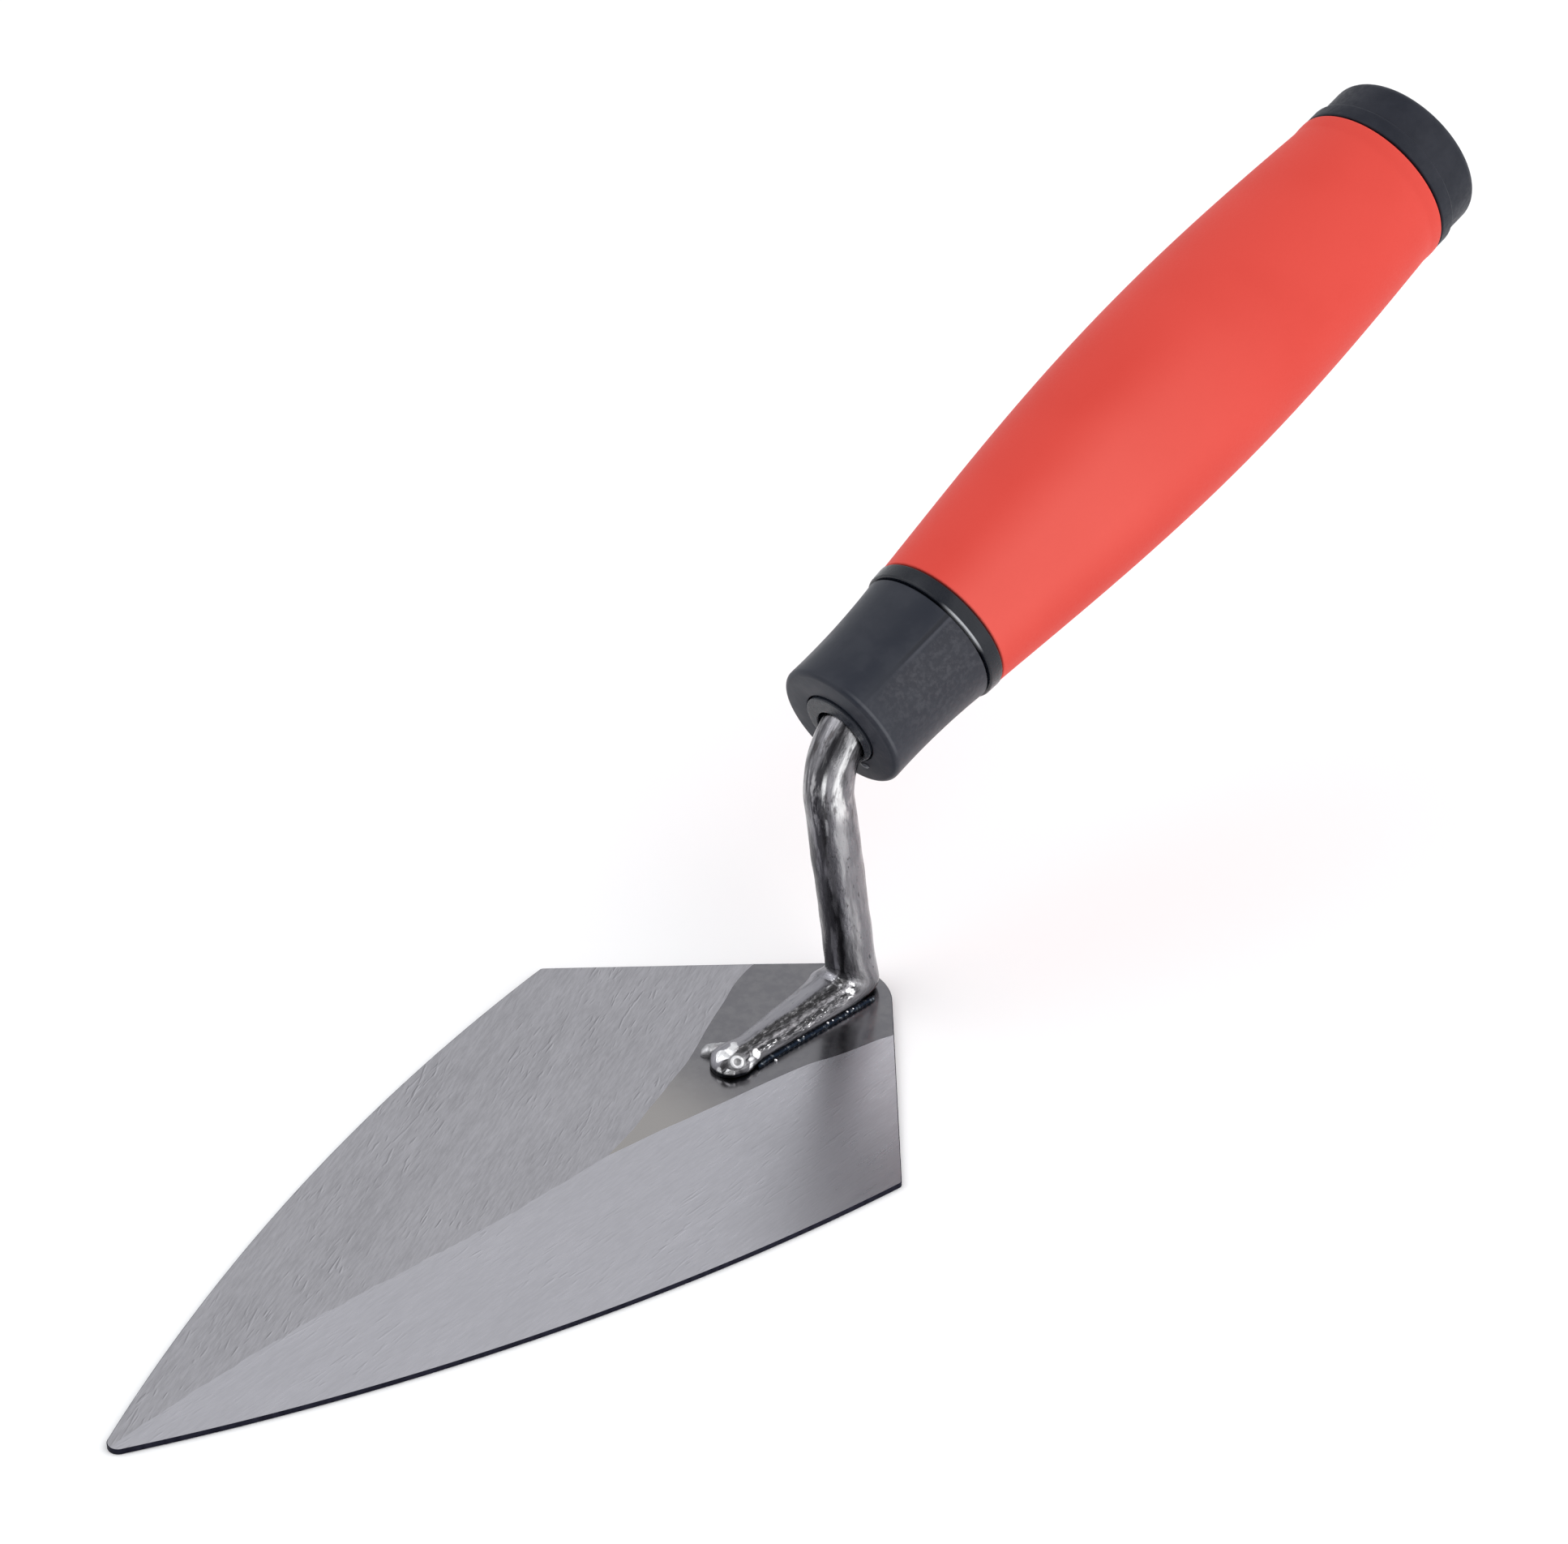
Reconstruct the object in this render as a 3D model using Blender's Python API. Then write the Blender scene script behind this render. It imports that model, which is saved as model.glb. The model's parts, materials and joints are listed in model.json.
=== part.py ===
"""Brick trowel with a 150 mm pointing blade, modelled as its separate pieces.

Metres, +Z up.  The origin is on the flat underside of the blade, on its centreline and level with its
shoulders, where the blade is widest.  The tip points to -X and the handle rises towards +X.
"""
from math import atan2, cos, pi, radians, sin, sqrt, tan

import bmesh
import bpy
from mathutils import Matrix, Vector

GAP = 0.0003                    # between pieces that touch on the real tool

# Blade
SHOULDER = 0.03825              # half width at the shoulders; the heel is a right angle, so also its length
HEEL_RADIUS = 0.00975
SHARP_TIP = -0.1179             # where the two long edges would meet
TIP_RADIUS = 0.0017
SHOULDER_RADIUS = 0.0008
SIDE_BULGE = 0.00556            # rise of each long edge over its chord
BLADE_THICKNESS = 0.0012        # left at full thickness under the shank
LAND_HEEL = 0.0144              # half width of that full-thickness land where it meets the heel edges
LAND_APEX = -0.0255             # x of the land's point
GRIND_SLOPE = 0.012             # how fast each ground face falls away from the land

# Shank
SHANK_RADIUS = 0.00385
NECK_FOOT = (0.0300, BLADE_THICKNESS)
NECK_LEAN = radians(8.25)       # the neck leans towards the tip
NECK_ROUNDING = 0.0075          # length of neck over which its back rounds in to the foot
NECK_TUCK = 0.0017              # how far forward it has come at the bottom
BEND_RADIUS = 0.0122
FOOT_NOSE = -0.0009             # x of the foot's front end
FOOT_HEEL = 0.0330              # x of its back end
NOSE_RADIUS = 0.0033
WAIST_RADIUS = 0.0030           # the foot draws in just behind its round nose
WAIST_AT = 0.0070
HEEL_END_RADIUS = 0.0045
FOOT_TURN = radians(2.0)        # the foot lies a little across the blade
TANG_END = 0.0844
TANG_BARBS = (0.052, 0.062, 0.072)
BARB_LENGTH = 0.006
BARB_STEP = 0.0004
BARB_DEPTH = 0.0007
TANG_POINT = 0.004              # length of the tang's tapered end
TANG_TIP_RADIUS = 0.0021
SOLE_BLOCK = 0.06               # a cutting block, wider than the foot is long
CUT_RUN_OUT = 0.004             # how far the tang's cutter runs on into the hollow

# Weld beads beside the foot
BEAD_RADIUS = 0.00045
BEAD_BACK = 0.0285              # x of the beads' back ends
BEAD_FRONT = 0.0055             # x of their front ends

# Handle: every distance is measured along its axis from the nub that stands proud of the collar
HANDLE_TILT = radians(20.45)
HANDLE_FRONT = (0.02648, 0.04953)
COLLAR_START = 0.0004
COLLAR_END = 0.0206
COLLAR_WAIST = 0.01086
COLLAR_WAIST_AT = 0.0059
COLLAR_FLARE = 3.8              # growth of the radius per metre, times the distance from the waist squared
COLLAR_EDGE = 0.0009
COLLAR_HOLE = 0.00635
COLLAR_FACE = 0.0025
COLLAR_BORE = 0.0093
NUB_RADIUS = COLLAR_HOLE - GAP
FLANGE_RADIUS = 0.0122
FLANGE_START = COLLAR_END + GAP
FLANGE_END = 0.0235
GRIP_START = FLANGE_END + GAP
GRIP_END = 0.1291
GRIP_FRONT_RADIUS = 0.01206
GRIP_BACK_RADIUS = 0.01400
GRIP_SWELL = 0.00293
GRIP_SKEW = 1.04
RIM_LENGTH = 0.0026
RIM_RISE = 0.00025
GRIP_WALL = 0.0023
TANG_BORE = SHANK_RADIUS + GAP
HOLLOW_START = 0.0920
HOLLOW_RADIUS = 0.0086
CAP_START = GRIP_END + GAP
CAP_END = 0.1389
LIP_RADIUS = 0.0142
LIP_EDGE = 0.0003
LIP_END = 0.1320
CAP_RADIUS = 0.01367
CAP_EDGE = 0.0016
CAP_WALL = 0.0029
PLUG_START = 0.1165
PLUG_RADIUS = HOLLOW_RADIUS - GAP
PLUG_LEAD = 0.0020
PLUG_STEP = 0.0008
PLUG_BORE = 0.0062

ROUND_STEPS = 40
SHANK_SIDES = 20


def clear_scene():
    for old in list(bpy.data.objects):
        bpy.data.objects.remove(old, do_unlink=True)


def material(name, colour, roughness, metallic=0.0):
    made = bpy.data.materials.new(name)
    made.use_nodes = True
    shader = made.node_tree.nodes["Principled BSDF"]
    shader.inputs["Base Color"].default_value = (*colour, 1.0)
    shader.inputs["Roughness"].default_value = roughness
    shader.inputs["Metallic"].default_value = metallic
    return made


def add_object(name, mesh, surface=None):
    made = bpy.data.objects.new(name, mesh)
    bpy.context.scene.collection.objects.link(made)
    if surface:
        mesh.materials.append(surface)
    return made


def finish_mesh(shape, name, smooth_below=None):
    """Turn a bmesh into a mesh with its faces pointing out, shaded smooth where it is round."""
    bmesh.ops.recalc_face_normals(shape, faces=shape.faces)
    mesh = bpy.data.meshes.new(name)
    shape.to_mesh(mesh)
    shape.free()
    if smooth_below:
        mesh.shade_smooth()
        mesh.set_sharp_from_angle(angle=smooth_below)
    return mesh


def rounded_corner(before, corner, after, radius, steps):
    """Points of the arc that fits inside the corner between two straight runs."""
    to_before = (Vector(before) - Vector(corner)).normalized()
    to_after = (Vector(after) - Vector(corner)).normalized()
    half = to_before.angle(to_after) / 2
    centre = Vector(corner) + (to_before + to_after).normalized() * radius / sin(half)
    start = Vector(corner) + to_before * radius / tan(half) - centre
    end = Vector(corner) + to_after * radius / tan(half) - centre
    turn = atan2(start.cross(end), start.dot(end))
    return [centre + Matrix.Rotation(turn * i / steps, 2) @ start for i in range(steps + 1)]


def long_edge(steps):
    """The bulged edge from a shoulder to the sharp tip, on an arc through both with the given rise."""
    chord = Vector((SHARP_TIP, -SHOULDER))
    half_angle = 2 * atan2(2 * SIDE_BULGE, chord.length)
    radius = chord.length / 2 / sin(half_angle)
    outward = Vector((chord.y, -chord.x)).normalized()
    middle = Vector((0.0, SHOULDER)) + chord / 2
    centre = middle - outward * radius * cos(half_angle)
    points = []
    for i in range(steps + 1):
        angle = half_angle * (2 * i / steps - 1)
        points.append(centre + outward * radius * cos(angle) + chord.normalized() * radius * sin(angle))
    return points


def blade_outline():
    """Half of the blade's edge from heel to tip, then its mirror image back to the heel."""
    heel = Vector((SHOULDER, 0.0))
    shoulder = Vector((0.0, SHOULDER))
    tip = Vector((SHARP_TIP, 0.0))
    edge = long_edge(26)
    across = Vector((1.0, -1.0))
    half = rounded_corner(shoulder * across, heel, shoulder, HEEL_RADIUS, 12)[6:]
    half += rounded_corner(heel, shoulder, edge[1], SHOULDER_RADIUS, 3)
    half += edge[1:-1]
    half += rounded_corner(edge[-2], tip, edge[-2] * across, TIP_RADIUS, 8)[:5]
    mirrored = [point * across for point in half[-2:0:-1]]
    return half + mirrored


def make_blade(surface):
    """Cut the outline from flat sheet, then take the two sloping faces off its top with a plane each."""
    shape = bmesh.new()
    corners = [shape.verts.new((point.x, point.y, 0.0)) for point in blade_outline()]
    sheet = shape.faces.new(corners)
    raised = bmesh.ops.extrude_face_region(shape, geom=[sheet])
    top = [item for item in raised["geom"] if isinstance(item, bmesh.types.BMVert)]
    bmesh.ops.translate(shape, verts=top, vec=(0.0, 0.0, BLADE_THICKNESS))
    apex = Vector((LAND_APEX, 0.0, BLADE_THICKNESS))
    for side in (1.0, -1.0):
        land_end = Vector((SHOULDER - LAND_HEEL, side * LAND_HEEL, BLADE_THICKNESS))
        along = (land_end - apex).normalized()
        away = Vector((-along.y * side, along.x * side, 0.0))
        upward = (away * GRIND_SLOPE + Vector((0.0, 0.0, 1.0))).normalized()
        everything = shape.verts[:] + shape.edges[:] + shape.faces[:]
        cut = bmesh.ops.bisect_plane(
            shape, geom=everything, dist=1e-7, plane_co=apex, plane_no=upward, clear_outer=True)
        rim = [item for item in cut["geom_cut"] if isinstance(item, bmesh.types.BMEdge)]
        bmesh.ops.contextual_create(shape, geom=rim)
    add_object("blade", finish_mesh(shape, "blade"), surface)


def swept(points, radii, sides):
    """A round bar along a path in the XZ plane, with its own radius at each point and flat ends."""
    shape = bmesh.new()
    rings = []
    last = len(points) - 1
    for i, (point, radius) in enumerate(zip(points, radii)):
        ahead = points[min(i + 1, last)] - points[max(i - 1, 0)]
        along = Vector((ahead.x, 0.0, ahead.y)).normalized()
        normal = Vector((-along.z, 0.0, along.x))
        centre = Vector((point.x, 0.0, point.y))
        ring = []
        for k in range(sides):
            angle = 2 * pi * k / sides
            offset = normal * cos(angle) + Vector((0.0, 1.0, 0.0)) * sin(angle)
            ring.append(shape.verts.new(centre + offset * radius))
        rings.append(ring)
    for lower, upper in zip(rings, rings[1:]):
        for k in range(sides):
            beside = (k + 1) % sides
            shape.faces.new((lower[k], lower[beside], upper[beside], upper[k]))
    shape.faces.new(rings[0])
    shape.faces.new(rings[-1])
    return shape


def along_handle(distance, radius=0.0):
    """Side-view point at a distance behind the collar's front face and a height over the handle's axis."""
    x = HANDLE_FRONT[0] + distance * cos(HANDLE_TILT) - radius * sin(HANDLE_TILT)
    z = HANDLE_FRONT[1] + distance * sin(HANDLE_TILT) + radius * cos(HANDLE_TILT)
    return Vector((x, z))


def neck_corner():
    """Where the neck's line meets the handle's axis."""
    foot = Vector(NECK_FOOT)
    neck = Vector((-sin(NECK_LEAN), cos(NECK_LEAN)))
    axis = Vector((cos(HANDLE_TILT), sin(HANDLE_TILT)))
    front = Vector(HANDLE_FRONT)
    reach = (front - foot).cross(axis) / neck.cross(axis)
    return foot + neck * reach


def foot_radius(x):
    """Round nose, a slight waist, a straight swell, and a blunt round back end."""
    nose_centre = FOOT_NOSE + NOSE_RADIUS
    back_centre = FOOT_HEEL - HEEL_END_RADIUS
    if x < nose_centre:
        return sqrt(max(NOSE_RADIUS ** 2 - (nose_centre - x) ** 2, 0.0))
    if x < WAIST_AT:
        share = (x - nose_centre) / (WAIST_AT - nose_centre)
        return NOSE_RADIUS + (WAIST_RADIUS - NOSE_RADIUS) * sin(share * pi / 2) ** 2
    if x < back_centre:
        share = (x - WAIST_AT) / (back_centre - WAIST_AT)
        return WAIST_RADIUS + (HEEL_END_RADIUS - WAIST_RADIUS) * share
    return sqrt(max(HEEL_END_RADIUS ** 2 - (x - back_centre) ** 2, 0.0))


def foot_stations(steps):
    """Places along the foot, close together where its two ends curve in."""
    blunt = 0.05
    length = FOOT_HEEL - FOOT_NOSE
    angles = [blunt + (pi - 2 * blunt) * i / steps for i in range(steps + 1)]
    return [FOOT_NOSE + length * (1 - cos(angle)) / 2 for angle in angles]


def foot_turned():
    """The small turn of the foot about the bottom of the neck."""
    place = Matrix.Translation((NECK_FOOT[0], 0.0, 0.0))
    return place @ Matrix.Rotation(FOOT_TURN, 4, "Z") @ place.inverted()


def hidden_tool(name, shape):
    """A body that only cuts or joins other bodies."""
    tool = add_object(name, finish_mesh(shape, name))
    tool.hide_render = True
    tool.display_type = "WIRE"
    return tool


def add_boolean(target, name, operation, tool):
    step = target.modifiers.new(name, "BOOLEAN")
    step.operation = operation
    step.object = tool


def bend_points():
    """The bend at the top of the neck, from the neck's line round to the handle's axis."""
    return rounded_corner(NECK_FOOT, neck_corner(), along_handle(TANG_END), BEND_RADIUS, 12)


def make_shank(surface):
    """Forge the foot, join the bent neck and barbed tang to it, and cut the sole flat."""
    places = foot_stations(24)
    foot_line = [Vector((x, BLADE_THICKNESS)) for x in places]
    foot_shape = swept(foot_line, [foot_radius(x) for x in places], SHANK_SIDES)
    bmesh.ops.transform(foot_shape, matrix=foot_turned(), verts=foot_shape.verts)
    shank = add_object("shank", finish_mesh(foot_shape, "shank", radians(40)), surface)

    foot = Vector(NECK_FOOT)
    neck = (neck_corner() - foot).normalized()
    tucks = [NECK_TUCK * (1 - share) ** 2 for share in spread(0.0, 1.0, 5)]
    heights = [NECK_ROUNDING * share for share in spread(0.0, 1.0, 5)]
    points = [foot + neck * height - Vector((tuck, 0.0)) for height, tuck in zip(heights, tucks)]
    radii = [SHANK_RADIUS - tuck / 2 for tuck in tucks]
    bend = bend_points()
    points += bend
    radii += [SHANK_RADIUS] * len(bend)
    for start in TANG_BARBS:
        points += [along_handle(start - BARB_STEP), along_handle(start), along_handle(start + BARB_LENGTH)]
        radii += [SHANK_RADIUS, SHANK_RADIUS - BARB_DEPTH, SHANK_RADIUS]
    points += [along_handle(TANG_END - TANG_POINT), along_handle(TANG_END)]
    radii += [SHANK_RADIUS, TANG_TIP_RADIUS]
    bar = hidden_tool("neck_bar", swept(points, radii, SHANK_SIDES))

    sole = bmesh.new()
    bmesh.ops.create_cube(sole, size=SOLE_BLOCK)
    below = (NECK_FOOT[0] / 2, 0.0, BLADE_THICKNESS + GAP - SOLE_BLOCK / 2)
    bmesh.ops.translate(sole, verts=sole.verts, vec=below)
    add_boolean(shank, "join", "UNION", bar)
    add_boolean(shank, "flatten", "DIFFERENCE", hidden_tool("sole_cut", sole))


def make_weld(name, side, surface):
    """A bead of weld metal along one side of the foot, a bead's gap clear of it and of the blade."""
    clear = GAP + BEAD_RADIUS
    curve = bpy.data.curves.new(name, "CURVE")
    curve.dimensions = "3D"
    curve.bevel_depth = BEAD_RADIUS
    curve.bevel_resolution = 1
    curve.use_fill_caps = True
    curve.materials.append(surface)
    places = spread(BEAD_BACK, BEAD_FRONT, 12)
    spline = curve.splines.new("POLY")
    spline.points.add(len(places) - 1)
    for point, x in zip(spline.points, places):
        point.co = (x - NECK_FOOT[0], side * (foot_radius(x) + clear), 0.0, 1.0)
    bead = bpy.data.objects.new(name, curve)
    bpy.context.scene.collection.objects.link(bead)
    bead.location = (NECK_FOOT[0], 0.0, BLADE_THICKNESS + GAP + BEAD_RADIUS)
    bead.rotation_euler = (0.0, 0.0, FOOT_TURN)


def make_turned(name, profile, surface, axis):
    """Turn a closed profile of (distance, radius) points about the handle's axis."""
    shape = bmesh.new()
    verts = [shape.verts.new((radius, 0.0, distance)) for distance, radius in profile]
    closed = [shape.edges.new((a, b)) for a, b in zip(verts, verts[1:] + verts[:1])]
    bmesh.ops.spin(
        shape, geom=verts + closed, cent=(0.0, 0.0, 0.0), axis=(0.0, 0.0, 1.0), angle=2 * pi,
        steps=ROUND_STEPS, use_merge=True, use_duplicate=False)
    bmesh.ops.remove_doubles(shape, verts=shape.verts, dist=1e-7)
    inside = [face for face in shape.faces if face.calc_area() < 1e-14]
    bmesh.ops.delete(shape, geom=inside, context="FACES_ONLY")
    made = add_object(name, finish_mesh(shape, name, radians(35)), surface)
    made.parent = axis
    return made


def rounded_edge(distance, radius, edge, towards, steps=3):
    """A quarter round from the outside to the end face at a distance, as (distance, radius)."""
    points = []
    for i in range(steps + 1):
        angle = pi / 2 * i / steps
        points.append((distance + towards * edge * (1 - sin(angle)), radius - edge * (1 - cos(angle))))
    return points


def collar_radius(distance):
    return COLLAR_WAIST + COLLAR_FLARE * (distance - COLLAR_WAIST_AT) ** 2


def grip_radius(distance):
    """Straight taper plus a skewed half-wave swell, and a small rim that flares at the back end."""
    share = min(max((distance - GRIP_START) / (GRIP_END - GRIP_START), 0.0), 1.0)
    taper = GRIP_FRONT_RADIUS + (GRIP_BACK_RADIUS - GRIP_FRONT_RADIUS) * share
    swell = GRIP_SWELL * sin(pi * share ** GRIP_SKEW)
    rim = max(0.0, 1 - (GRIP_END - distance) / RIM_LENGTH)
    return taper + swell + RIM_RISE * sin(rim * pi / 2)


def spread(start, end, count):
    return [start + (end - start) * i / (count - 1) for i in range(count)]


def make_collar(surface, axis):
    start = COLLAR_START + COLLAR_EDGE
    outside = [(distance, collar_radius(distance)) for distance in spread(start, COLLAR_END, 7)]
    front = rounded_edge(COLLAR_START, outside[0][1], COLLAR_EDGE, 1.0)
    profile = front[:0:-1] + outside
    profile += [(COLLAR_END, COLLAR_BORE), (COLLAR_FACE, COLLAR_BORE), (COLLAR_FACE, COLLAR_HOLE),
                (COLLAR_START, COLLAR_HOLE)]
    make_turned("front_collar", profile, surface, axis)


def make_core(surface, axis):
    """A turned core, solid in front, bored along the bend and tang that it is moulded round."""
    clearance = GRIP_WALL + GAP
    barrel = [(distance, grip_radius(distance) - clearance) for distance in spread(FLANGE_END, GRIP_END, 14)]
    spigot = COLLAR_BORE - GAP
    shoulder = COLLAR_FACE + GAP
    profile = [
        (0.0, 0.0), (0.0, NUB_RADIUS), (shoulder, NUB_RADIUS), (shoulder, spigot),
        (FLANGE_START, spigot), (FLANGE_START, FLANGE_RADIUS), (FLANGE_END, FLANGE_RADIUS)]
    profile += barrel
    profile += [(GRIP_END, HOLLOW_RADIUS), (HOLLOW_START, HOLLOW_RADIUS), (HOLLOW_START, 0.0)]
    core = make_turned("handle_core", profile, surface, axis)
    route = bend_points() + [along_handle(HOLLOW_START / 2), along_handle(HOLLOW_START + CUT_RUN_OUT)]
    bore = swept(route, [TANG_BORE] * len(route), SHANK_SIDES)
    add_boolean(core, "tang_hole", "DIFFERENCE", hidden_tool("tang_cut", bore))


def make_grip(surface, axis):
    distances = spread(GRIP_START, GRIP_END - RIM_LENGTH, 17) + spread(GRIP_END - RIM_LENGTH, GRIP_END, 4)[1:]
    outside = [(distance, grip_radius(distance)) for distance in distances]
    inside = [(distance, grip_radius(distance) - GRIP_WALL) for distance in spread(GRIP_END, GRIP_START, 14)]
    make_turned("grip_sleeve", outside + inside, surface, axis)


def make_cap(surface, axis):
    profile = [
        (CAP_START, PLUG_RADIUS), (CAP_START, LIP_RADIUS - LIP_EDGE), (CAP_START + LIP_EDGE, LIP_RADIUS),
        (LIP_END - LIP_EDGE, LIP_RADIUS), (LIP_END, CAP_RADIUS)]
    end = rounded_edge(CAP_END, CAP_RADIUS, CAP_EDGE, -1.0, 4)
    profile += end
    profile += [
        (CAP_END, 0.0), (CAP_END - CAP_WALL, 0.0), (CAP_END - CAP_WALL, PLUG_BORE), (PLUG_START, PLUG_BORE),
        (PLUG_START, PLUG_RADIUS - PLUG_STEP), (PLUG_START + PLUG_LEAD, PLUG_RADIUS)]
    make_turned("end_cap", profile, surface, axis)


clear_scene()

ground_steel = material("ground_steel", (0.42, 0.43, 0.45), 0.35, 1.0)
forged_steel = material("forged_steel", (0.36, 0.36, 0.35), 0.25, 1.0)
weld_metal = material("weld_metal", (0.30, 0.30, 0.32), 0.40, 1.0)
black_plastic = material("black_plastic", (0.035, 0.038, 0.050), 0.50)
core_plastic = material("core_plastic", (0.045, 0.050, 0.062), 0.50)
red_rubber = material("red_rubber", (0.78, 0.075, 0.055), 0.55)
cap_plastic = material("cap_plastic", (0.028, 0.032, 0.042), 0.50)

make_blade(ground_steel)
make_shank(forged_steel)
make_weld("weld_left", 1.0, weld_metal)
make_weld("weld_right", -1.0, weld_metal)

handle_axis = bpy.data.objects.new("handle_axis", None)
bpy.context.scene.collection.objects.link(handle_axis)
handle_axis.location = (HANDLE_FRONT[0], 0.0, HANDLE_FRONT[1])
handle_axis.rotation_euler = (0.0, pi / 2 - HANDLE_TILT, 0.0)

make_collar(black_plastic, handle_axis)
make_core(core_plastic, handle_axis)
make_grip(red_rubber, handle_axis)
make_cap(cap_plastic, handle_axis)
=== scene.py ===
import json

import bmesh
import bpy
import numpy as np
from mathutils import Matrix, Vector


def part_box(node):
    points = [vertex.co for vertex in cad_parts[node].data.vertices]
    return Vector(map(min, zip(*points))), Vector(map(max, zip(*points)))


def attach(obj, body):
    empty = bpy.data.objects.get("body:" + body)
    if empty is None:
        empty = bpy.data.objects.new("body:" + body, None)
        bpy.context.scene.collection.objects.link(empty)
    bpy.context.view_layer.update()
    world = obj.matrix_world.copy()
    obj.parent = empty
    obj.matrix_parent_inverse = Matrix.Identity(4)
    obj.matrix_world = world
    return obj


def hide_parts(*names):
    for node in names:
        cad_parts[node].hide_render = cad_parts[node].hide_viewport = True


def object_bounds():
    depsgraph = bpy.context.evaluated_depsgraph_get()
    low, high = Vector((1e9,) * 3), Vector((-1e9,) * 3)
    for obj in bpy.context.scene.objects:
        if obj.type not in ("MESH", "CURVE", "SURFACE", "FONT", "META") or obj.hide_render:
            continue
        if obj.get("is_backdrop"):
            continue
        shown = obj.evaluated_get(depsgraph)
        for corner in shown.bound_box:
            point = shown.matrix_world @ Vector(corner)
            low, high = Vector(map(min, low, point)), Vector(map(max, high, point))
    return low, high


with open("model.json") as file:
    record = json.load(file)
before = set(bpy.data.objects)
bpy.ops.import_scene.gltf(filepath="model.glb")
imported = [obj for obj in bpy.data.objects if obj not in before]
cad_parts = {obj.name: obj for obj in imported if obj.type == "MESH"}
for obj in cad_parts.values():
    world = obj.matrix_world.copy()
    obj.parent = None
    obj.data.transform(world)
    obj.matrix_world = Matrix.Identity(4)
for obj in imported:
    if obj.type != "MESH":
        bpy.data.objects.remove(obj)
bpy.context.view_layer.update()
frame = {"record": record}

MM = 0.001


# ----------------------------------------------------------------------------
# Blade.  One leaf of hardened carbon steel, blanked from sheet.  Both long faces are ground thin
# on a belt, which leaves the bright unground land under the shank and a low ridge to the tip.
# ----------------------------------------------------------------------------
blade_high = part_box("blade")[1]
SHOULDER = blade_high.y
BLADE_TOP = blade_high.z
SHARP_TIP = -117.9 * MM
HEEL_ROUND, SHOULDER_ROUND, TIP_ROUND = 9.75 * MM, 0.8 * MM, 1.7 * MM
SIDE_RISE = 5.56 * MM           # rise of each long edge over its chord
EDGE_ROUND = 0.11 * MM          # the filed corner along the edge
GRIND_FALL = 0.012              # drop of a ground face per metre away from the land
LAND_LEFT = np.array([(23.3, 14.95), (20.6, 14.35), (17.1, 13.2), (13.1, 11.3), (9.05, 9.55), (5.1, 7.7),
                      (1.7, 6.0), (-2.0, 4.35), (-5.9, 3.05), (-9.8, 1.65), (-13.7, 0.4), (-18.0, -1.2),
                      (-22.0, -2.3), (-25.5, -3.2)]) * MM
LAND_RIGHT = np.array([(24.95, -13.3), (22.7, -12.5), (18.9, -11.6), (14.8, -10.5), (11.2, -9.2),
                       (6.0, -8.1), (0.8, -7.25), (-3.6, -6.6), (-8.1, -5.85), (-11.8, -5.25),
                       (-15.3, -4.6), (-19.0, -4.1), (-22.7, -3.6), (-25.5, -3.2)]) * MM
RIDGE = np.array([(-25.5, -3.2), (-35.0, -3.0), (-48.0, -2.55), (-64.0, -1.2), (-80.0, 0.2), (-98.0, 0.55),
                  (-108.0, 0.35)]) * MM


def round_corner(before, corner, after, radius, steps):
    """The arc of a radius that touches both lines of a corner, as points from the first to the second."""
    into, out = before - corner, after - corner
    into, out = into / np.linalg.norm(into), out / np.linalg.norm(out)
    half = np.arccos(np.clip(into @ out, -1, 1)) / 2
    middle = (into + out) / np.linalg.norm(into + out)
    centre = corner + middle * radius / np.sin(half)
    sweep = (np.pi / 2 - half) * np.linspace(-1, 1, steps)
    across = np.array([-middle[1], middle[0]])
    across = across * np.sign(across @ out)
    return centre + radius * (np.outer(-np.cos(sweep), middle) + np.outer(np.sin(sweep), across))


def half_outline():
    """The blade's left edge from the heel's end to the tip's: a rounded right-angled heel, a straight to
    the shoulder, and a long edge that is an arc over its chord, with its corners rounded."""
    heel, shoulder, tip = np.array([[SHOULDER, 0.0], [0.0, SHOULDER], [SHARP_TIP, 0.0]])
    mirror = np.array([1.0, -1.0])
    chord = tip - shoulder
    length = np.linalg.norm(chord)
    half_angle = 2 * np.arctan2(2 * SIDE_RISE, length)
    radius = length / 2 / np.sin(half_angle)
    outward = np.array([chord[1], -chord[0]]) / length
    turn = half_angle * np.linspace(-1, 1, 260)[:, None]
    centre = shoulder + chord / 2 - outward * radius * np.cos(half_angle)
    edge = centre + outward * radius * np.cos(turn) + chord / length * radius * np.sin(turn)
    heel_arc = round_corner(shoulder * mirror, heel, shoulder, HEEL_ROUND, 61)[30:]
    shoulder_arc = round_corner(heel, shoulder, edge[1], SHOULDER_ROUND, 15)
    tip_arc = round_corner(edge[-2], tip, edge[-2] * mirror, TIP_ROUND, 41)[:21]
    started = edge[edge[:, 0] < shoulder_arc[-1, 0] - 1e-6]
    kept = started[started[:, 0] > tip_arc[0, 0] + 1e-6]
    straight = np.linspace(heel_arc[-1], shoulder_arc[0], 90)[1:-1]
    return np.concatenate([heel_arc, straight, shoulder_arc, kept, tip_arc])


def lengths(line):
    """Distance along a line of points, from 0 to 1."""
    steps = np.linalg.norm(np.diff(line, axis=0), axis=1)
    return np.concatenate([[0.0], np.cumsum(steps)]) / steps.sum()


def sample(line, where):
    """Points of a line at the given shares of its length."""
    at = lengths(line)
    return np.stack([np.interp(where, at, line[:, k]) for k in range(line.shape[1])], -1)


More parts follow.
